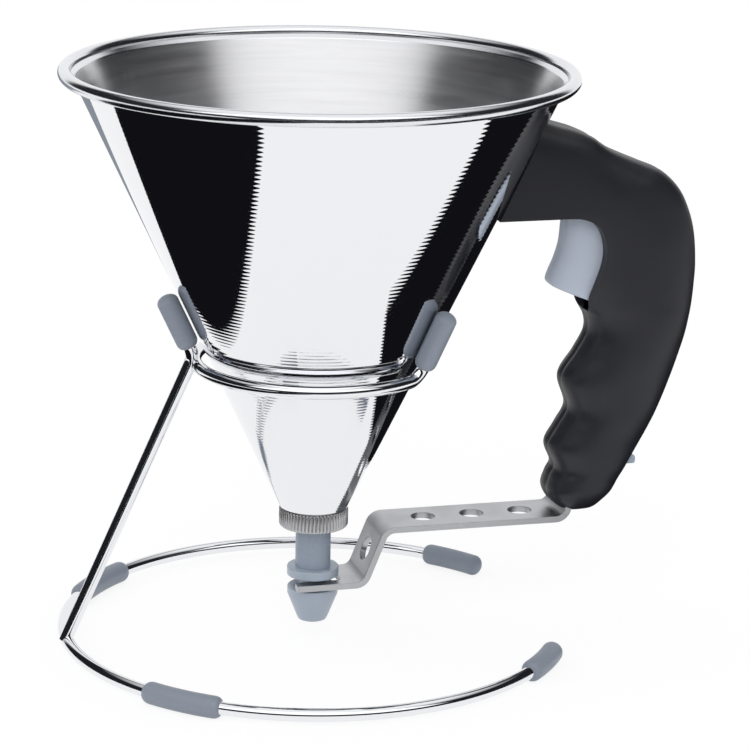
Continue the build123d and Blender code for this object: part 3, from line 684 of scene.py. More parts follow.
def swept_grid(line, radii, reference, around=32):
    """Circle of each radius at each point of the line: point + radius x (cos a x side + sin a x top)."""
    line = np.asarray(line, dtype=float)
    heading = np.gradient(line, axis=0)
    heading /= np.linalg.norm(heading, axis=1)[:, None]
    reference = np.broadcast_to(np.asarray(reference, dtype=float), line.shape)
    side = reference - heading * np.sum(reference * heading, axis=1)[:, None]
    side /= np.linalg.norm(side, axis=1)[:, None]
    top = np.cross(heading, side)
    angle = np.arange(around) * 2 * math.pi / around
    radii = np.broadcast_to(np.asarray(radii, dtype=float), line.shape[:1])[:, None, None]
    ring = np.cos(angle)[None, :, None] * side[:, None] + np.sin(angle)[None, :, None] * top[:, None]
    return line[:, None] + radii * ring


def wire_piece(name, line, reference, node):
    """Polished wire along a line, closed at both ends by a last circle of no size."""
    line = np.concatenate((line[:1], line, line[-1:]))
    radii = np.full(len(line), WIRE_RADIUS)
    radii[[0, -1]] = CLOSED_RADIUS
    line[0] += (line[1] - line[2]) * NUDGE
    line[-1] += (line[-2] - line[-3]) * NUDGE
    piece = grid_piece(name, swept_grid(line, radii, reference))
    face_outwards(piece.data)
    keep_corners(piece.data, 60)
    return seat_piece(piece, "polished_wire", "stand", (node,))


print("wire of", 2 * WIRE_RADIUS, "mm")

# %% [markdown]
# ## Base ring
# The ring that stands on the worktop is open towards the handle, so that the grip can drop between its
# ends.

# %% Base ring
WIRE_Z = 3.2
BASE_RADIUS = 77.5
BASE_MOUTH = 34.0
BASE_STEPS = 289


def base_points(angle):
    """Points on the centre line of the base ring at angles in radians."""
    return np.stack((BASE_RADIUS * np.cos(angle), BASE_RADIUS * np.sin(angle), WIRE_Z + 0 * angle), axis=-1)


base_angles = np.radians(np.linspace(BASE_MOUTH, 360 - BASE_MOUTH, BASE_STEPS))
wire_piece("base_wire", base_points(base_angles), (0, 0, 1), "base_ring")

# %% [markdown]
# ## Leg
# One wire climbs from the ring at the rear, leans in to the cone, and bends to run along it as the rear
# prong. The knee is where two straight lines cross: the leg's own, and the line that keeps a sleeve's
# radius and a small gap off the cone.

# %% Leg
SLEEVE_RADIUS = 3.35
PRONG_GAP = 0.35
PRONG_TOP_Z = 109.0
LEG_FOOT_X = -78.2
LEG_LEAN = math.tan(math.radians(24.3))
LEG_BEND = 6.5
BEND_STEPS = 14


def prong_radius(z):
    """Distance from the axis to the centre line of a prong at height z."""
    outward = SLEEVE_RADIUS + PRONG_GAP
    return CONE_FOOT[0] + CONE_SLOPE * (z - CONE_FOOT[1]) + outward / math.cos(CONE_TILT)


def leg_line():
    """Leg and rear prong: straight up and inwards from the ring, one bend, then outwards along the cone."""
    knee_z = (-LEG_FOOT_X + LEG_LEAN * WIRE_Z - prong_radius(0)) / (CONE_SLOPE + LEG_LEAN)
    knee = (-prong_radius(knee_z), knee_z)
    corners = ((LEG_FOOT_X, WIRE_Z), knee, (-prong_radius(PRONG_TOP_Z), PRONG_TOP_Z))
    flat = rounded_line(corners, (LEG_BEND,), BEND_STEPS)
    return np.stack((flat[:, 0], 0 * flat[:, 0], flat[:, 1]), axis=-1)


wire_piece("leg_wire", leg_line(), (0, 1, 0), "leg")

# %% [markdown]
# ## Cradle
# A ring holds the cone at mid height. Its two ends turn up and out into the front prongs. The turn isn't an
# arc in one plane, so a cubic curve joins the level ring to the sloping prong and keeps both headings.

# %% Cradle
CRADLE_RADIUS = 37.0
CRADLE_Z = 88.6
CRADLE_STEPS = 181
PRONG_ANGLE = 47.5
PRONG_BEND = 5.0
PRONG_LOW_Z = 92.6


def prong_point(angle, z):
    """Point of a prong's centre line at height z, for a prong at an angle in degrees."""
    turn = math.radians(angle)
    return np.array((prong_radius(z) * math.cos(turn), prong_radius(z) * math.sin(turn), z))


def eased_curve(start, start_heading, end, end_heading, steps):
    """Cubic curve between two points with given headings: the Hermite formula."""
    t = np.linspace(0, 1, steps)[:, None]
    reach = np.linalg.norm(end - start)
    start_share, end_share = 2 * t**3 - 3 * t**2 + 1, -2 * t**3 + 3 * t**2
    start_pull, end_pull = t**3 - 2 * t**2 + t, t**3 - t**2
    places = start_share * start + end_share * end
    return places + reach * (start_pull * start_heading + end_pull * end_heading)


def cradle_line():
    """Ring round the cone whose two ends turn up into prongs."""
    bend = math.degrees(PRONG_BEND / CRADLE_RADIUS)
    angle = np.radians(np.linspace(PRONG_ANGLE + bend, 360 - PRONG_ANGLE - bend, CRADLE_STEPS))
    x, y = CRADLE_RADIUS * np.cos(angle), CRADLE_RADIUS * np.sin(angle)
    ring = np.stack((x, y, CRADLE_Z + 0 * angle), axis=-1)
    ends = []
    for sign, tip in ((1, ring[0]), (-1, ring[-1])):
        low = prong_point(sign * PRONG_ANGLE, PRONG_LOW_Z)
        high = prong_point(sign * PRONG_ANGLE, PRONG_TOP_Z)
        heading = np.array((tip[1], -tip[0], 0.0)) / CRADLE_RADIUS * sign
        turn_up = eased_curve(tip, heading, low, unit(high - low), BEND_STEPS)
        ends.append(np.concatenate((turn_up, high[None])))
    return np.concatenate((ends[0][::-1], ring[1:-1], ends[1]))


cradle_path = cradle_line()
outward = cradle_path * np.array((1.0, 1.0, 0.0))
outward /= np.linalg.norm(outward, axis=1)[:, None]
wire_piece("cradle_wire", cradle_path, np.concatenate((outward[:1], outward, outward[-1:])), "cradle")

# %% [markdown]
# ## Rubber sleeves
# Rubber keeps the wire from sliding on the worktop and from scratching the cone. Each sleeve is a pill: a
# tube whose ends are quarter ellipses, open where the wire leaves it and domed where the wire ends inside.
# A plain cylinder with a bevel would look the same on a straight wire, but can't follow the ring.

# %% Sleeve helpers
SLEEVE_ROUNDING = 2.3
ROUNDING_STEPS = 9
MIDDLE_STEPS = 12
SLEEVE_AROUND = 40
# an open end closes on the wire at this share of the wire's radius, just inside its surface
BITE = 0.98


def pill(length, low_radius, high_radius):
    """Distances and radii along a sleeve: quarter ellipses at both ends down to the given end radii.

    An open end goes on to just inside the wire's surface, and a domed one, whose radius is 0, to a point.
    """
    turn = np.linspace(0, math.pi / 2, ROUNDING_STEPS)
    near = SLEEVE_ROUNDING * (1 - np.cos(turn))
    low = low_radius + (SLEEVE_RADIUS - low_radius) * np.sin(turn)
    high = high_radius + (SLEEVE_RADIUS - high_radius) * np.sin(turn)
    middle = np.linspace(SLEEVE_ROUNDING, length - SLEEVE_ROUNDING, MIDDLE_STEPS)[1:-1]
    places = np.concatenate(([0.0], near, middle, length - near[::-1], [length]))
    ends = [WIRE_RADIUS * BITE if radius else CLOSED_RADIUS for radius in (low_radius, high_radius)]
    radii = np.concatenate((ends[:1], low, np.full(len(middle), SLEEVE_RADIUS), high[::-1], ends[1:]))
    return places, radii


def sleeve_piece(name, line_at, length, low_radius, high_radius, reference):
    """Sleeve on the line that line_at gives for distances along it; it bears its node's name."""
    places, radii = pill(length, low_radius, high_radius)
    places[0] -= NUDGE
    places[-1] += NUDGE
    piece = grid_piece(name, swept_grid(line_at(places), radii, reference, SLEEVE_AROUND))
    face_outwards(piece.data)
    return seat_piece(piece, "sleeve_rubber", "stand", (name,))


print("sleeve of", 2 * SLEEVE_RADIUS, "mm")

# %% [markdown]
# ## Sleeves on the prongs
# The cone rests between three sleeves that run along its slope. Each is open to the wire below and domed
# above.

# %% Prong sleeves
# name, angle round the axis, height of its low end, height of its high end
PRONG_SLEEVES = (
    ("prong_sleeve_rear", 180.0, 94.8, 111.0),
    ("prong_sleeve_left", PRONG_ANGLE, PRONG_LOW_Z, 110.3),
    ("prong_sleeve_right", -PRONG_ANGLE, PRONG_LOW_Z, 110.3),
)


def prong_sleeve(name, angle, low, high):
    """Sleeve on a prong: its line is straight, from the prong's point at low to its point at high."""
    start, end = prong_point(angle, low), prong_point(angle, high)
    length = np.linalg.norm(end - start)
    turn = math.radians(angle)

    def line_at(places):
        return start + (end - start) * (places / length)[:, None]

    sleeve_piece(name, line_at, length, WIRE_RADIUS, 0.0, (-math.sin(turn), math.cos(turn), 0))


for values in PRONG_SLEEVES:
    prong_sleeve(*values)

# %% [markdown]
# ## Sleeves on the base ring
# Two sleeves are feet, which wrap the ring on either side of the leg. Two caps close the ring's ends. They
# stand on the worktop, so whatever would dip below it is pressed flat.

# %% Ring sleeves
FOOT_ANGLES = (124.0, 143.0)
REAR_FOOT_ANGLES = (129.0, 150.0)
CAP_ANGLES = (30.5, 46.5)


def ring_sleeve(name, first, last, first_radius, last_radius):
    """Sleeve on the base ring between two angles in degrees; its line is the ring's own arc."""
    length = math.radians(abs(last - first)) * BASE_RADIUS
    step = math.degrees(1 / BASE_RADIUS) * (1 if last > first else -1)

    def line_at(places):
        return base_points(np.radians(first + places * step))

    piece = sleeve_piece(name, line_at, length, first_radius, last_radius, (0, 0, 1))
    places = np.empty(len(piece.data.vertices) * 3)
    piece.data.vertices.foreach_get("co", places)
    places[2::3] = np.maximum(places[2::3], 0.0)
    piece.data.vertices.foreach_set("co", places)


ring_sleeve("foot_sleeve_left", *REAR_FOOT_ANGLES, WIRE_RADIUS, WIRE_RADIUS)
ring_sleeve("foot_sleeve_right", -FOOT_ANGLES[0], -FOOT_ANGLES[1], WIRE_RADIUS, WIRE_RADIUS)
ring_sleeve("end_cap_left", *CAP_ANGLES, 0.0, WIRE_RADIUS)
ring_sleeve("end_cap_right", -CAP_ANGLES[0], -CAP_ANGLES[1], 0.0, WIRE_RADIUS)

# %% [markdown]
# ## Handle
# The grip is moulded in two halves that meet on the mirror plane. It could be sculpted, or cut from a block
# and rounded, but a rounding that changes along the grip is hard to steer that way. Its cross-sections are
# superellipses: nearly elliptical where the fingers close round it, and almost square where it meets the
# cone. Each row below is one section line, from the finger side to the back, and the surface is the rows
# eased into each other. Where a row starts at the trigger's slot or at the underside, its virtual end lies
# an overhang further in, so that the side stays full up to the sharp edge, and a wall turns in from there.

# %% Handle rows
HANDLE_HALF = 11.99
# finger side x, z; back x, z; overhang; fullness; width; slot
HANDLE_ROWS = np.array(
    (
        (78.8, 37.0, 90.4, 37.4, 0.0, 2.9, 0.0, 0.0),
        (78.8, 37.0, 90.4, 37.4, 0.0, 2.9, 0.56, 0.0),
        (77.4, 37.6, 92.0, 38.2, 0.0, 2.9, 0.76, 0.0),
        (76.0, 39.6, 93.7, 40.4, 0.0, 2.8, 0.93, 0.0),
        (75.2, 43.0, 96.2, 43.0, 0.0, 2.7, 1.0, 0.0),
        (76.3, 47.0, 98.5, 46.8, 0.0, 2.6, 1.0, 0.0),
        (77.6, 50.6, 100.8, 50.2, 0.0, 2.5, 1.0, 0.0),
        (75.3, 57.0, 104.6, 56.4, 0.0, 2.4, 1.0, 0.0),
        (78.4, 63.0, 107.8, 62.2, 0.0, 2.4, 1.0, 0.0),
        (81.5, 69.5, 110.9, 68.6, 0.0, 2.4, 1.0, 0.0),
        (78.9, 79.0, 114.8, 78.2, 0.0, 2.4, 1.0, 0.0),
        (83.7, 87.0, 117.5, 86.6, 0.0, 2.4, 1.0, 0.0),
        (87.0, 93.5, 119.3, 93.0, 0.0, 2.4, 1.0, 0.0),
        (86.3, 99.0, 120.5, 99.2, 0.0, 2.4, 1.0, 0.0),
        (85.3, 102.6, 121.1, 103.4, 2.2, 2.4, 1.0, 1.0),
        (84.9, 106.0, 121.5, 108.6, 4.0, 2.4, 1.0, 1.0),
        (86.7, 111.0, 121.7, 115.0, 8.0, 2.4, 1.0, 1.0),
        (88.6, 117.0, 120.8, 124.0, 11.0, 2.5, 1.0, 1.0),
        (88.9, 122.0, 118.8, 131.3, 13.0, 2.6, 1.0, 1.0),
        (87.6, 126.8, 115.2, 138.4, 14.0, 2.8, 1.0, 1.0),
        (84.8, 130.2, 109.4, 144.1, 14.0, 3.0, 1.0, 1.0),
        (80.5, 131.9, 102.7, 147.1, 14.0, 3.2, 1.0, 1.0),
        (76.0, 132.2, 96.4, 149.7, 14.0, 3.5, 1.0, 1.0),
        (72.0, 132.2, 91.6, 151.9, 14.5, 3.9, 1.0, 0.0),
        (68.5, 132.2, 88.0, 154.2, 15.0, 4.3, 1.0, 0.0),
        (65.3, 132.2, 85.2, 156.1, 15.5, 4.7, 1.0, 0.0),
        (61.5, 132.2, 80.4, 158.2, 16.0, 5.0, 1.0, 0.0),
        (57.5, 132.2, 74.4, 160.0, 16.0, 5.0, 1.0, 0.0),
        (54.0, 132.2, 68.2, 162.0, 16.0, 5.0, 1.0, 0.0),
        (54.0, 132.2, 68.2, 162.0, 16.0, 5.0, 0.001, 0.0),
    )
)
print("handle rows", len(HANDLE_ROWS))

# %% [markdown]
# ## Easing rows into each other
# Straight lines between the rows would leave a crease at each. The Catmull-Rom formula takes the slope at a
# row from the rows on either side of it, so that the curve passes through every row and never kinks. At the
# two flat ends a crease is wanted, and the pair of rows there is held apart.

# %% Eased rows
HANDLE_STEPS = 9


def eased_rows(table, steps, held=()):
    """Rows between the given ones, by the Catmull-Rom formula; pairs in held stay two separate rows."""
    padded = np.concatenate((table[:1], table, table[-1:]))
    t = np.arange(steps)[:, None] / steps
    out = []
    for number in range(len(table) - 1):
        before, first, last, after = padded[number : number + 4]
        if number in held:
            out.append(first[None])
            continue
        if number - 1 in held:
            before = first
        if number + 1 in held:
            after = last
        gap = last - first
        first_slope, last_slope = (last - before) / 2, (after - first) / 2
        square = t**2 * (3 * gap - 2 * first_slope - last_slope)
        cube = t**3 * (first_slope + last_slope - 2 * gap)
        out.append(first + t * first_slope + square + cube)
    out.append(table[-1:])
    return np.concatenate(out)


handle_rows = eased_rows(HANDLE_ROWS, HANDLE_STEPS, held=(0, len(HANDLE_ROWS) - 2))
print("eased handle rows", len(handle_rows))

# %% [markdown]
# ## Half a shell
# All rows become points at once: 44 round one side of each, and a wall where the row starts at the slot or
# at the underside. A shallow groove marks the seam where the two mouldings meet. It is real geometry, 0.45
# mm deep, because light catches its two edges all along the back of the grip.

# %% Half a shell from rows
SEAM_WIDTH = 0.3
SEAM_DEPTH = 0.45
LEAST_FULLNESS = 1.8
MOST_FULLNESS = 6.0
END_SHARE = 0.3


def half_section(rows, half_width, slot_half, slot_depth, seam=True, columns=44):
    """Points of one side of every row.

    With s from -1 at the virtual front end to 1 at the back, the side stands half_width x
    (1 - |s|^fullness)^(1/fullness) off the mirror plane. Rows with an overhang start part of the way along,
    and a wall runs in from there: as far as the slot is deep, or straight to the mirror plane.
    """
    front, back = rows[:, None, 0:2], rows[:, None, 2:4]
    overhang, fullness, width, slot = (rows[:, None, k] for k in (4, 5, 6, 7))
    fullness = np.clip(fullness, LEAST_FULLNESS, MOST_FULLNESS)
    run = back - front
    length = np.linalg.norm(run, axis=-1)
    along = run / length[..., None]
    half = (length + overhang) / 2
    start = np.clip(overhang / half - 1.0, -1.0, 1.0)
    first = np.arccos(-start)
    s = -np.cos(first + (math.pi - first) * np.linspace(0, 1, columns)[None, :])
    side = half_width * np.clip(1 - np.abs(s) ** fullness, 0, 1) ** (1 / fullness)
    reach = s * half
    if seam:
        reach = reach - np.sign(s) * SEAM_DEPTH * np.clip(1 - side / SEAM_WIDTH, 0, 1)
    place = back - along * half[..., None] + along * reach[..., None]
    centre = (front + back) / 2
    shrunk = np.where(width > 0.5, np.minimum(1.0, END_SHARE + (1 - END_SHARE) * width), 1.0)
    place = centre + (place - centre) * shrunk[..., None]
    side = side * width
    wall_side = np.minimum(side[:, :1], np.where(slot > 0.5, slot_half, 0.0))
    inner = place[:, :1] + along * np.where(slot > 0.5, slot_depth, 0.0)[..., None]
    place = np.concatenate((inner, place[:, :1], place), axis=1)
    side = np.concatenate((wall_side, wall_side, side), axis=1)
    return place, side


def shell_grid(place, side, sign):
    """Three columns of numbers from section points on the mirror plane and their distance from it."""
    return np.stack((place[..., 0], sign * side, place[..., 1]), axis=-1)


print("seam", SEAM_WIDTH, "mm wide and", SEAM_DEPTH, "mm deep")

# %% [markdown]
# ## Both halves of the grip
# The left and the right half are the same numbers with the sign of Y changed. Mirroring turns a surface
# inside out, so the faces of the right half run the other way round.

# %% Grip
SLOT_HALF = 7.7
SLOT_DEPTH = 2.5
handle_place, handle_side = half_section(handle_rows, HANDLE_HALF, SLOT_HALF, SLOT_DEPTH)
for label, sign in (("left", 1), ("right", -1)):
    grid = shell_grid(handle_place, handle_side, sign)
    half = grid_piece("handle_half_" + label, grid, closed=False, flip=sign < 0)
    keep_corners(half.data, 38)
    seat_piece(half, "dark_plastic", "funnel", ("handle_shell_" + label,))

# %% [markdown]
# ## Trigger
# The finger piece is rounded across its front and hollowed along it for one finger. It is made as the grip
# is: rows from its rounded foot up to its head inside the slot, each a superellipse seen from above, here
# with the front as the crowned end. Its back is flat and hidden in the grip.

# %% Trigger
TRIGGER_HALF = 7.2
TRIGGER_BACK_X = 91.1
TRIGGER_STEPS = 7
# rear x, z; front x, z; overhang; fullness; width; slot
TRIGGER_ROWS = np.array(
    (
        (TRIGGER_BACK_X, 102.6, 75.4, 108.7, 14.0, 2.8, 0.0, 0.0),
        (TRIGGER_BACK_X, 102.6, 75.4, 108.7, 14.0, 2.8, 0.84, 0.0),
        (TRIGGER_BACK_X, 102.8, 74.2, 109.2, 14.0, 2.8, 0.95, 0.0),
        (TRIGGER_BACK_X, 104.2, 73.4, 110.6, 14.0, 2.7, 1.0, 0.0),
        (TRIGGER_BACK_X, 108.6, 74.1, 113.5, 14.0, 2.5, 1.0, 0.0),
        (TRIGGER_BACK_X, 113.4, 75.7, 117.2, 14.0, 2.5, 1.0, 0.0),
        (TRIGGER_BACK_X, 119.6, 77.2, 122.3, 14.0, 2.5, 1.0, 0.0),
        (TRIGGER_BACK_X, 127.0, 77.7, 128.0, 14.0, 2.5, 1.0, 0.0),
        (TRIGGER_BACK_X, 131.0, 77.9, 131.6, 14.0, 2.5, 0.97, 0.0),
        (TRIGGER_BACK_X, 131.0, 77.9, 131.6, 14.0, 2.5, 0.0, 0.0),
    )
)


def trigger():
    """Both sides of the finger piece, welded along the mirror plane."""
    rows = eased_rows(TRIGGER_ROWS, TRIGGER_STEPS, held=(0, len(TRIGGER_ROWS) - 2))
    place, side = half_section(rows, TRIGGER_HALF, 0.0, 0.0, seam=False)
    near = shell_grid(place, side, -1)
    far = shell_grid(place, side, 1)
    whole = np.concatenate((near, far[:, -2::-1]), axis=1)
    piece = grid_piece("trigger_finger", whole, closed=False)
    face_outwards(piece.data)
    keep_corners(piece.data, 50)
    seat_piece(piece, "trigger_plastic", "arm", ("trigger",))


trigger()

# %% [markdown]
# ## Knurled nut
# The nut is undone by hand for cleaning, so it is knurled: straight ridges stand round it, rounded on top.
# They could be one ridge copied round by an array modifier, with joints to hide. Here the nut is turned
# like the funnel, and then its radius falls between the ridges.

# %% Knurled nut
NUT_RIDGES = 56
POINTS_PER_RIDGE = 10
RIDGE_DEPTH = 0.5
RIDGE_FULL_RADIUS = 10.65
RIDGE_START_RADIUS = 10.4
RIDGE_START_SHARE = 0.6
# radius and height, from the bore over the outside to the foot and back
NUT_SECTION = np.array(
    (
        (9.97, 41.5),
        (10.3, 41.5),
        (10.6, 41.3),
        (10.75, 41.1),
        (10.75, 36.3),
        (10.6, 35.95),
        (10.3, 35.7),
        (7.0, 35.7),
        (7.0, 37.2),
        (9.97, 37.2),
        (9.97, 41.5),
    )
)


def knurled_nut():
    """Ring whose outside falls by depth x (1 - |cos(ridges x a / 2)|) between its ridges."""
    around = NUT_RIDGES * POINTS_PER_RIDGE
    grid = turned_grid(NUT_SECTION, around)
    angle = np.arange(around) * 2 * math.pi / around
    fall = RIDGE_DEPTH * (1 - np.abs(np.cos(NUT_RIDGES * angle / 2)))
    radius = np.hypot(grid[..., 0], grid[..., 1])
    on_shoulder = np.where(radius > RIDGE_START_RADIUS, RIDGE_START_SHARE * fall, 0.0)
    carved = radius - np.where(radius > RIDGE_FULL_RADIUS, fall, on_shoulder)
    grid[..., :2] *= (carved / radius)[..., None]
    piece = grid_piece("ring_nut", grid)
    face_outwards(piece.data)
    keep_corners(piece.data, 35)
    seat_piece(piece, "nut_steel", "nut", ("knurled_nut",))


knurled_nut()

# %% [markdown]
# ## Smooth copies
# The strip, the screws, the catch, the tube and the nozzle keep the shape of their CAD nodes. A node is a
# set of loose triangles, which would show as facets. So a welded copy stands for it: its flat triangles are
# merged, its edges get a small bevel that catches the light, and the angle between faces decides what is
# smooth.

# %% Copy helper
FLAT_ANGLE = 0.4
BEVEL_ANGLE = 50


def bevel_edges(piece, width):
    """Small rounded bevel on every edge that is sharper than the bevel angle."""
    bevel = piece.modifiers.new("edges", "BEVEL")
    bevel.width = width * MM
    bevel.segments = 2
    bevel.limit_method = "ANGLE"
    bevel.angle_limit = math.radians(BEVEL_ANGLE)
    bevel.harden_normals = True


def smooth_copy(node, body, finish, edge=0.2, smooth_angle=35, shape=None):
    """Welded and bevelled copy of a CAD node that stands for it; shape may move its points, in mm."""
    mesh = NODES[node].data.copy()
    mesh.materials.clear()
    if shape is not None:
        place = np.empty(len(mesh.vertices) * 3)
        mesh.vertices.foreach_get("co", place)
        mesh.vertices.foreach_set("co", (shape(place.reshape(-1, 3) / MM) * MM).ravel())
    work = bmesh.new()
    work.from_mesh(mesh)
    bmesh.ops.remove_doubles(work, verts=work.verts, dist=WELD_DISTANCE)
    flat = math.radians(FLAT_ANGLE)
    bmesh.ops.dissolve_limit(work, angle_limit=flat, verts=work.verts, edges=work.edges)
    work.to_mesh(mesh)
    work.free()
    shade_smooth(mesh)
    keep_corners(mesh, smooth_angle)
    piece = bpy.data.objects.new(node + "_finished", mesh)
    bpy.context.scene.collection.objects.link(piece)
    if edge:
        bevel_edges(piece, edge)
    return seat_piece(piece, finish, body, (node,))


print("copy helper ready")

# %% [markdown]
# ## Small corrections of shape
# Three of the copies differ a little from their nodes: the fork has a longer slot and a shorter tine, the
# catch is trimmed, and the screw heads stand proud of the crowned side. Each function picks the points of
# one region by their coordinates and shifts them along one axis. Every other point stays where the CAD
# model has it.

# %% Shape corrections
FAR_TINE_CUT = 1.6
SLOT_EXTENSION = 4.6
CATCH_CUT = 1.4
HEAD_LIFT = 0.45
CATCH_END_X = 98.0
HEAD_FOOT_Y = 9.9


def shifted(place, x=0.0, y=0.0):
    """Points moved by x and y, each one number or one for every point."""
    moved = place.copy()
    moved[:, 0] += x
    moved[:, 1] += y
    return moved


def fork_shape(place):
    """Fork of the strip: the far tine is shorter, and the slot runs further towards the bend."""
    x, y, z = place.T
    # the tips lie past x = -5, and the slot's end between x = 0.5 and 7, below the first bend
    far_tip = (x < -5.0) & (y > 4.5)
    slot_end = (x > 0.5) & (x < 7.0) & (np.abs(y) < 6.0) & (z < 20.0)
    return shifted(place, x=FAR_TINE_CUT * far_tip + SLOT_EXTENSION * slot_end)


def catch_shape(place):
    """Catch whose free end is drawn in."""
    return shifted(place, x=-CATCH_CUT * (place[:, 0] > CATCH_END_X))


def screw_shape(place):
    """Screws whose heads stand further out, to reach the crowned side of the grip."""
    return shifted(place, y=HEAD_LIFT * (place[:, 1] > HEAD_FOOT_Y))


print("the fork's slot is", SLOT_EXTENSION, "mm longer")

# %% [markdown]
# ## Strip, screws, catch, tube and nozzle
# The strip gets the widest bevel, because its blasted edges are soft. The plastic pieces already have
# rounded edges and get none. The tube's colour is the nozzle's plastic painted darker: painted shade,
# where the cone above keeps the light off the tube. It is the same plastic, so its slot is the nozzle's.

# %% Copies
smooth_copy("arm_strip", "arm", "satin_steel", 0.25, shape=fork_shape)
smooth_copy("handle_screws", "funnel", "spring_steel", 0.15, 40, screw_shape)
smooth_copy("arm_catch", "catch", "nozzle_plastic", 0.0, 45, catch_shape)
# the tube's finish is painted shade: the nozzle's plastic made darker where the cone shades it
tube_piece = smooth_copy("valve_tube", "nozzle", "tube_plastic", 0.0)
smooth_copy("nozzle_spool", "nozzle", "nozzle_plastic", 0.0)

# %% [markdown]
# ## Inner parts
# The parts inside show through the slot and the ports only, so they keep their CAD meshes. Every node gets
# the finish of its own material slot, also those that a piece above stands for.

# %% Inner parts
for part in frame["record"]["subparts"]:
    node = NODES[part["node"]]
    node.data.materials.clear()
    node.data.materials.append(FINISHES[part["material_slot"]])

# %% [markdown]
# ## Floor
# The floor is white paper. A lit floor alone would be grey at this level of light, and more light would
# burn out the object. So to the eye and in reflections it is mostly a steady white of its own, and a fifth
# of it is lit and takes the soft shadow. The lit part alone comes to about three quarters, so the steady
# part makes up for it: 0.8 x 1.06 + 0.2 x 0.75 is 1, which is white.

# %% Floor
FLOOR_HALF = 4000
PAPER_WHITE = 1.06
PAPER_SHARE = 0.8


def flat_shape(name, corners, height, material):
    """Flat stage piece from its corners in millimetres."""
    mesh = bpy.data.meshes.new(name)
    mesh.from_pydata([(x * MM, y * MM, height * MM) for x, y in corners], [], [tuple(range(len(corners)))])
    mesh.materials.append(material)
    shape = bpy.data.objects.new(name, mesh)
    bpy.context.scene.collection.objects.link(shape)
    return shape


def paper_floor():
    """White paper: a steady white to the eye and to mirrors, mixed with a share that is lit."""
    material = bpy.data.materials.new("floor_paper")
    material.use_nodes = True
    tree = material.node_tree
    shader = tree.nodes["Principled BSDF"]
    shader.inputs["Base Color"].default_value = (0.95, 0.95, 0.95, 1.0)
    shader.inputs["Roughness"].default_value = 0.9
    shader.inputs["Specular IOR Level"].default_value = 0.1
    path = tree.nodes.new("ShaderNodeLightPath")
    seen = maths(tree, "MAXIMUM", path.outputs["Is Camera Ray"], path.outputs["Is Glossy Ray"])
    seen = maths(tree, "MAXIMUM", seen, path.outputs["Is Transmission Ray"])
    white = add_node(tree, "ShaderNodeEmission", {"Color": (1, 1, 1, 1), "Strength": PAPER_WHITE})
    share = maths(tree, "MULTIPLY", seen, PAPER_SHARE)
    mix = add_node(tree, "ShaderNodeMixShader", {0: share, 1: shader.outputs[0], 2: white.outputs[0]})
    tree.links.new(mix.outputs[0], tree.nodes["Material Output"].inputs["Surface"])
    return material


floor_corners = [(x * FLOOR_HALF, y * FLOOR_HALF) for x, y in ((-1, -1), (1, -1), (1, 1), (-1, 1))]
flat_shape("floor", floor_corners, 0.0, paper_floor())
print("floor", 2 * FLOOR_HALF * MM, "m wide")

# %% [markdown]
# ## Cards
# A polished cone shows its round shape only by what it mirrors. A studio lays cards beside such a piece, so
# four cards lie on the floor here, seen only in reflections. The black ones to the left and right draw the
# two black bands down the cone. The one in front draws a dark line along the wires and the bead, and a grey
# one far behind takes the glare off their upper edges.

# %% Cards
CARD_LEFT = ((-116, -600), (-116, 130), (-107, 180), (-229, 204), (-700, 204), (-700, -600))
CARD_RIGHT = ((83, -82), (221, -55), (900, 75), (900, 900), (60, 900), (78, 100))
CARD_FRONT = ((-2500, -2500), (2500, -2500), (2500, -430), (-116, -430), (-700, -600))
CARD_FAR = ((-500, 420), (60, 420), (60, 3000), (-500, 3000))
CARD_LIFT = 1.0


def card_paper(name, colour):
    """Card of one steady colour."""
    material = bpy.data.materials.new(name)
    material.use_nodes = True
    shader = material.node_tree.nodes["Principled BSDF"]
    shader.inputs["Base Color"].default_value = (0, 0, 0, 1.0)
    shader.inputs["Specular IOR Level"].default_value = 0.0
    shader.inputs["Emission Color"].default_value = (*colour, 1.0)
    shader.inputs["Emission Strength"].default_value = 1.0
    return material


BLACK = card_paper("card_black", (0.006, 0.006, 0.008))
GREY = card_paper("card_grey", (0.26, 0.29, 0.33))
for name, corners, paper in (
    ("card_left", CARD_LEFT, BLACK),
    ("card_right", CARD_RIGHT, BLACK),
    ("card_front", CARD_FRONT, BLACK),
    ("card_far", CARD_FAR, GREY),
):
    card = flat_shape(name, corners, CARD_LIFT, paper)
    card.visible_camera = False
    card.visible_diffuse = False
    card.visible_transmission = False
    card.visible_shadow = False
    print(card.name, "lies", CARD_LIFT, "mm above the floor")

# %% [markdown]
# ## Soft light
# Three large soft boxes model the plastic and throw the soft shadow. The steel doesn't mirror them, because
# the world below already gives it a whole studio to mirror. A lamp's power in watts says little about how
# bright it looks, so each is given by its radiance.

# %% Soft light
CENTRE = (0.0, 0.0, 0.1)
# name, place in metres, width, height, radiance
SOFT_BOXES = (
    ("soft_front", (-0.5, -1.5, 1.3), 1.2, 0.9, 1.7),
    ("soft_left", (-1.6, 0.2, 0.7), 0.8, 1.0, 1.2),
    ("soft_right", (1.6, 0.9, 0.8), 0.8, 1.0, 1.0),
)


def soft_box(name, place, width, height, radiance):
    """Soft box aimed at the centre: its power is radiance x pi x area, to look as bright as its radiance."""
    data = bpy.data.lights.new(name, "AREA")
    data.shape = "RECTANGLE"
    data.size, data.size_y = width, height
    data.energy = radiance * math.pi * width * height
    lamp = bpy.data.objects.new(name, data)
    aim = (Vector(CENTRE) - Vector(place)).to_track_quat("-Z", "Y")
    lamp.matrix_world = Matrix.Translation(Vector(place)) @ aim.to_matrix().to_4x4()
    bpy.context.scene.collection.objects.link(lamp)
    lamp.visible_glossy = False
    lamp.visible_camera = False
    print(name, "has", round(data.energy, 2), "W")


for values in SOFT_BOXES:
    soft_box(*values)

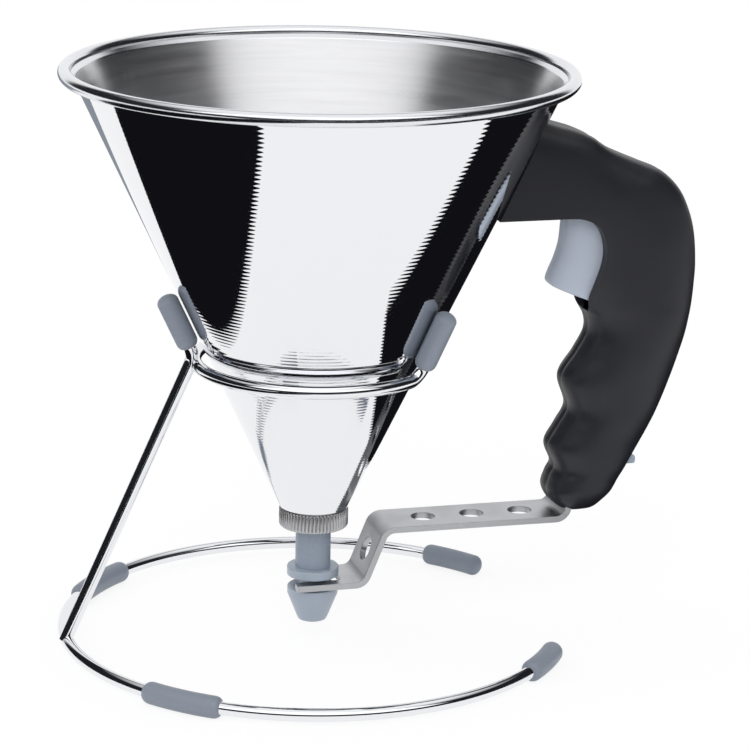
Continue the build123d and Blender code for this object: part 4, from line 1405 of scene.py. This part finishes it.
# %% [markdown]
# ## Studio
# The world does three jobs, told apart by the kind of ray that asks. To the eye it is plain white. To dull
# surfaces it is an even light from all round. To mirrors it is a studio: a white backdrop, a bright panel
# above the camera, a white ceiling and dark sides. An image wrapped round the scene could do the last, but
# a few numbers give exactly the edges that the cone needs.

# %% Studio world
LEVEL_LOOK = (math.sin(CAMERA_TURN), math.cos(CAMERA_TURN), 0.0)
BACKDROP_EDGE = (0.72, 0.80)
BACKDROP_LEVEL = 0.66
PANEL_EDGE = (-0.34, -0.46)
PANEL_FOOT = (0.36, 0.46)
CEILING_EDGE = (0.62, 0.86)
CEILING_LEVEL = 0.68
MIRROR_DARK = (0.014, 0.015, 0.018, 1.0)
MIRROR_BRIGHT = (1.45, 1.45, 1.46, 1.0)
ROOM_LIGHT = (0.75, 0.75, 0.76, 1.0)
WHITE = (1.0, 1.0, 1.0, 1.0)


def studio_world():
    """White behind the object and even light all round; to mirrors, a studio with dark sides.

    With the direction d and the way the camera looks b (level), mirrors see the white backdrop where
    d . b is high, a bright panel above the camera where -d . b and the height are both high, a white
    ceiling straight above, and dark grey everywhere else.
    """
    world = bpy.data.worlds.new("studio")
    bpy.context.scene.world = world
    world.use_nodes = True
    tree = world.node_tree
    path = tree.nodes.new("ShaderNodeLightPath")
    place = tree.nodes.new("ShaderNodeTexCoord")
    parts = add_node(tree, "ShaderNodeSeparateXYZ", {0: place.outputs["Generated"]})
    both = {0: place.outputs["Generated"], 1: LEVEL_LOOK}
    along = add_node(tree, "ShaderNodeVectorMath", both, operation="DOT_PRODUCT").outputs["Value"]
    backdrop = spread(tree, along, *BACKDROP_EDGE, 0.0, BACKDROP_LEVEL)
    panel_side = spread(tree, along, *PANEL_EDGE, 0.0, 1.0)
    panel = maths(tree, "MULTIPLY", panel_side, spread(tree, parts.outputs["Z"], *PANEL_FOOT, 0.0, 1.0))
    ceiling = spread(tree, parts.outputs["Z"], *CEILING_EDGE, 0.0, CEILING_LEVEL)
    bright = maths(tree, "MAXIMUM", backdrop, maths(tree, "MAXIMUM", panel, ceiling))
    mirror = blend_colours(tree, bright, MIRROR_DARK, MIRROR_BRIGHT)
    plain = blend_colours(tree, path.outputs["Is Camera Ray"], ROOM_LIGHT, WHITE)
    colour = blend_colours(tree, path.outputs["Is Glossy Ray"], plain, mirror)
    background = tree.nodes["Background"]
    tree.links.new(colour, background.inputs["Color"])
    background.inputs["Strength"].default_value = 1.0
    print("world", world.name, "has", len(tree.nodes), "nodes")


studio_world()
bpy.context.scene.view_settings.view_transform = "Standard"
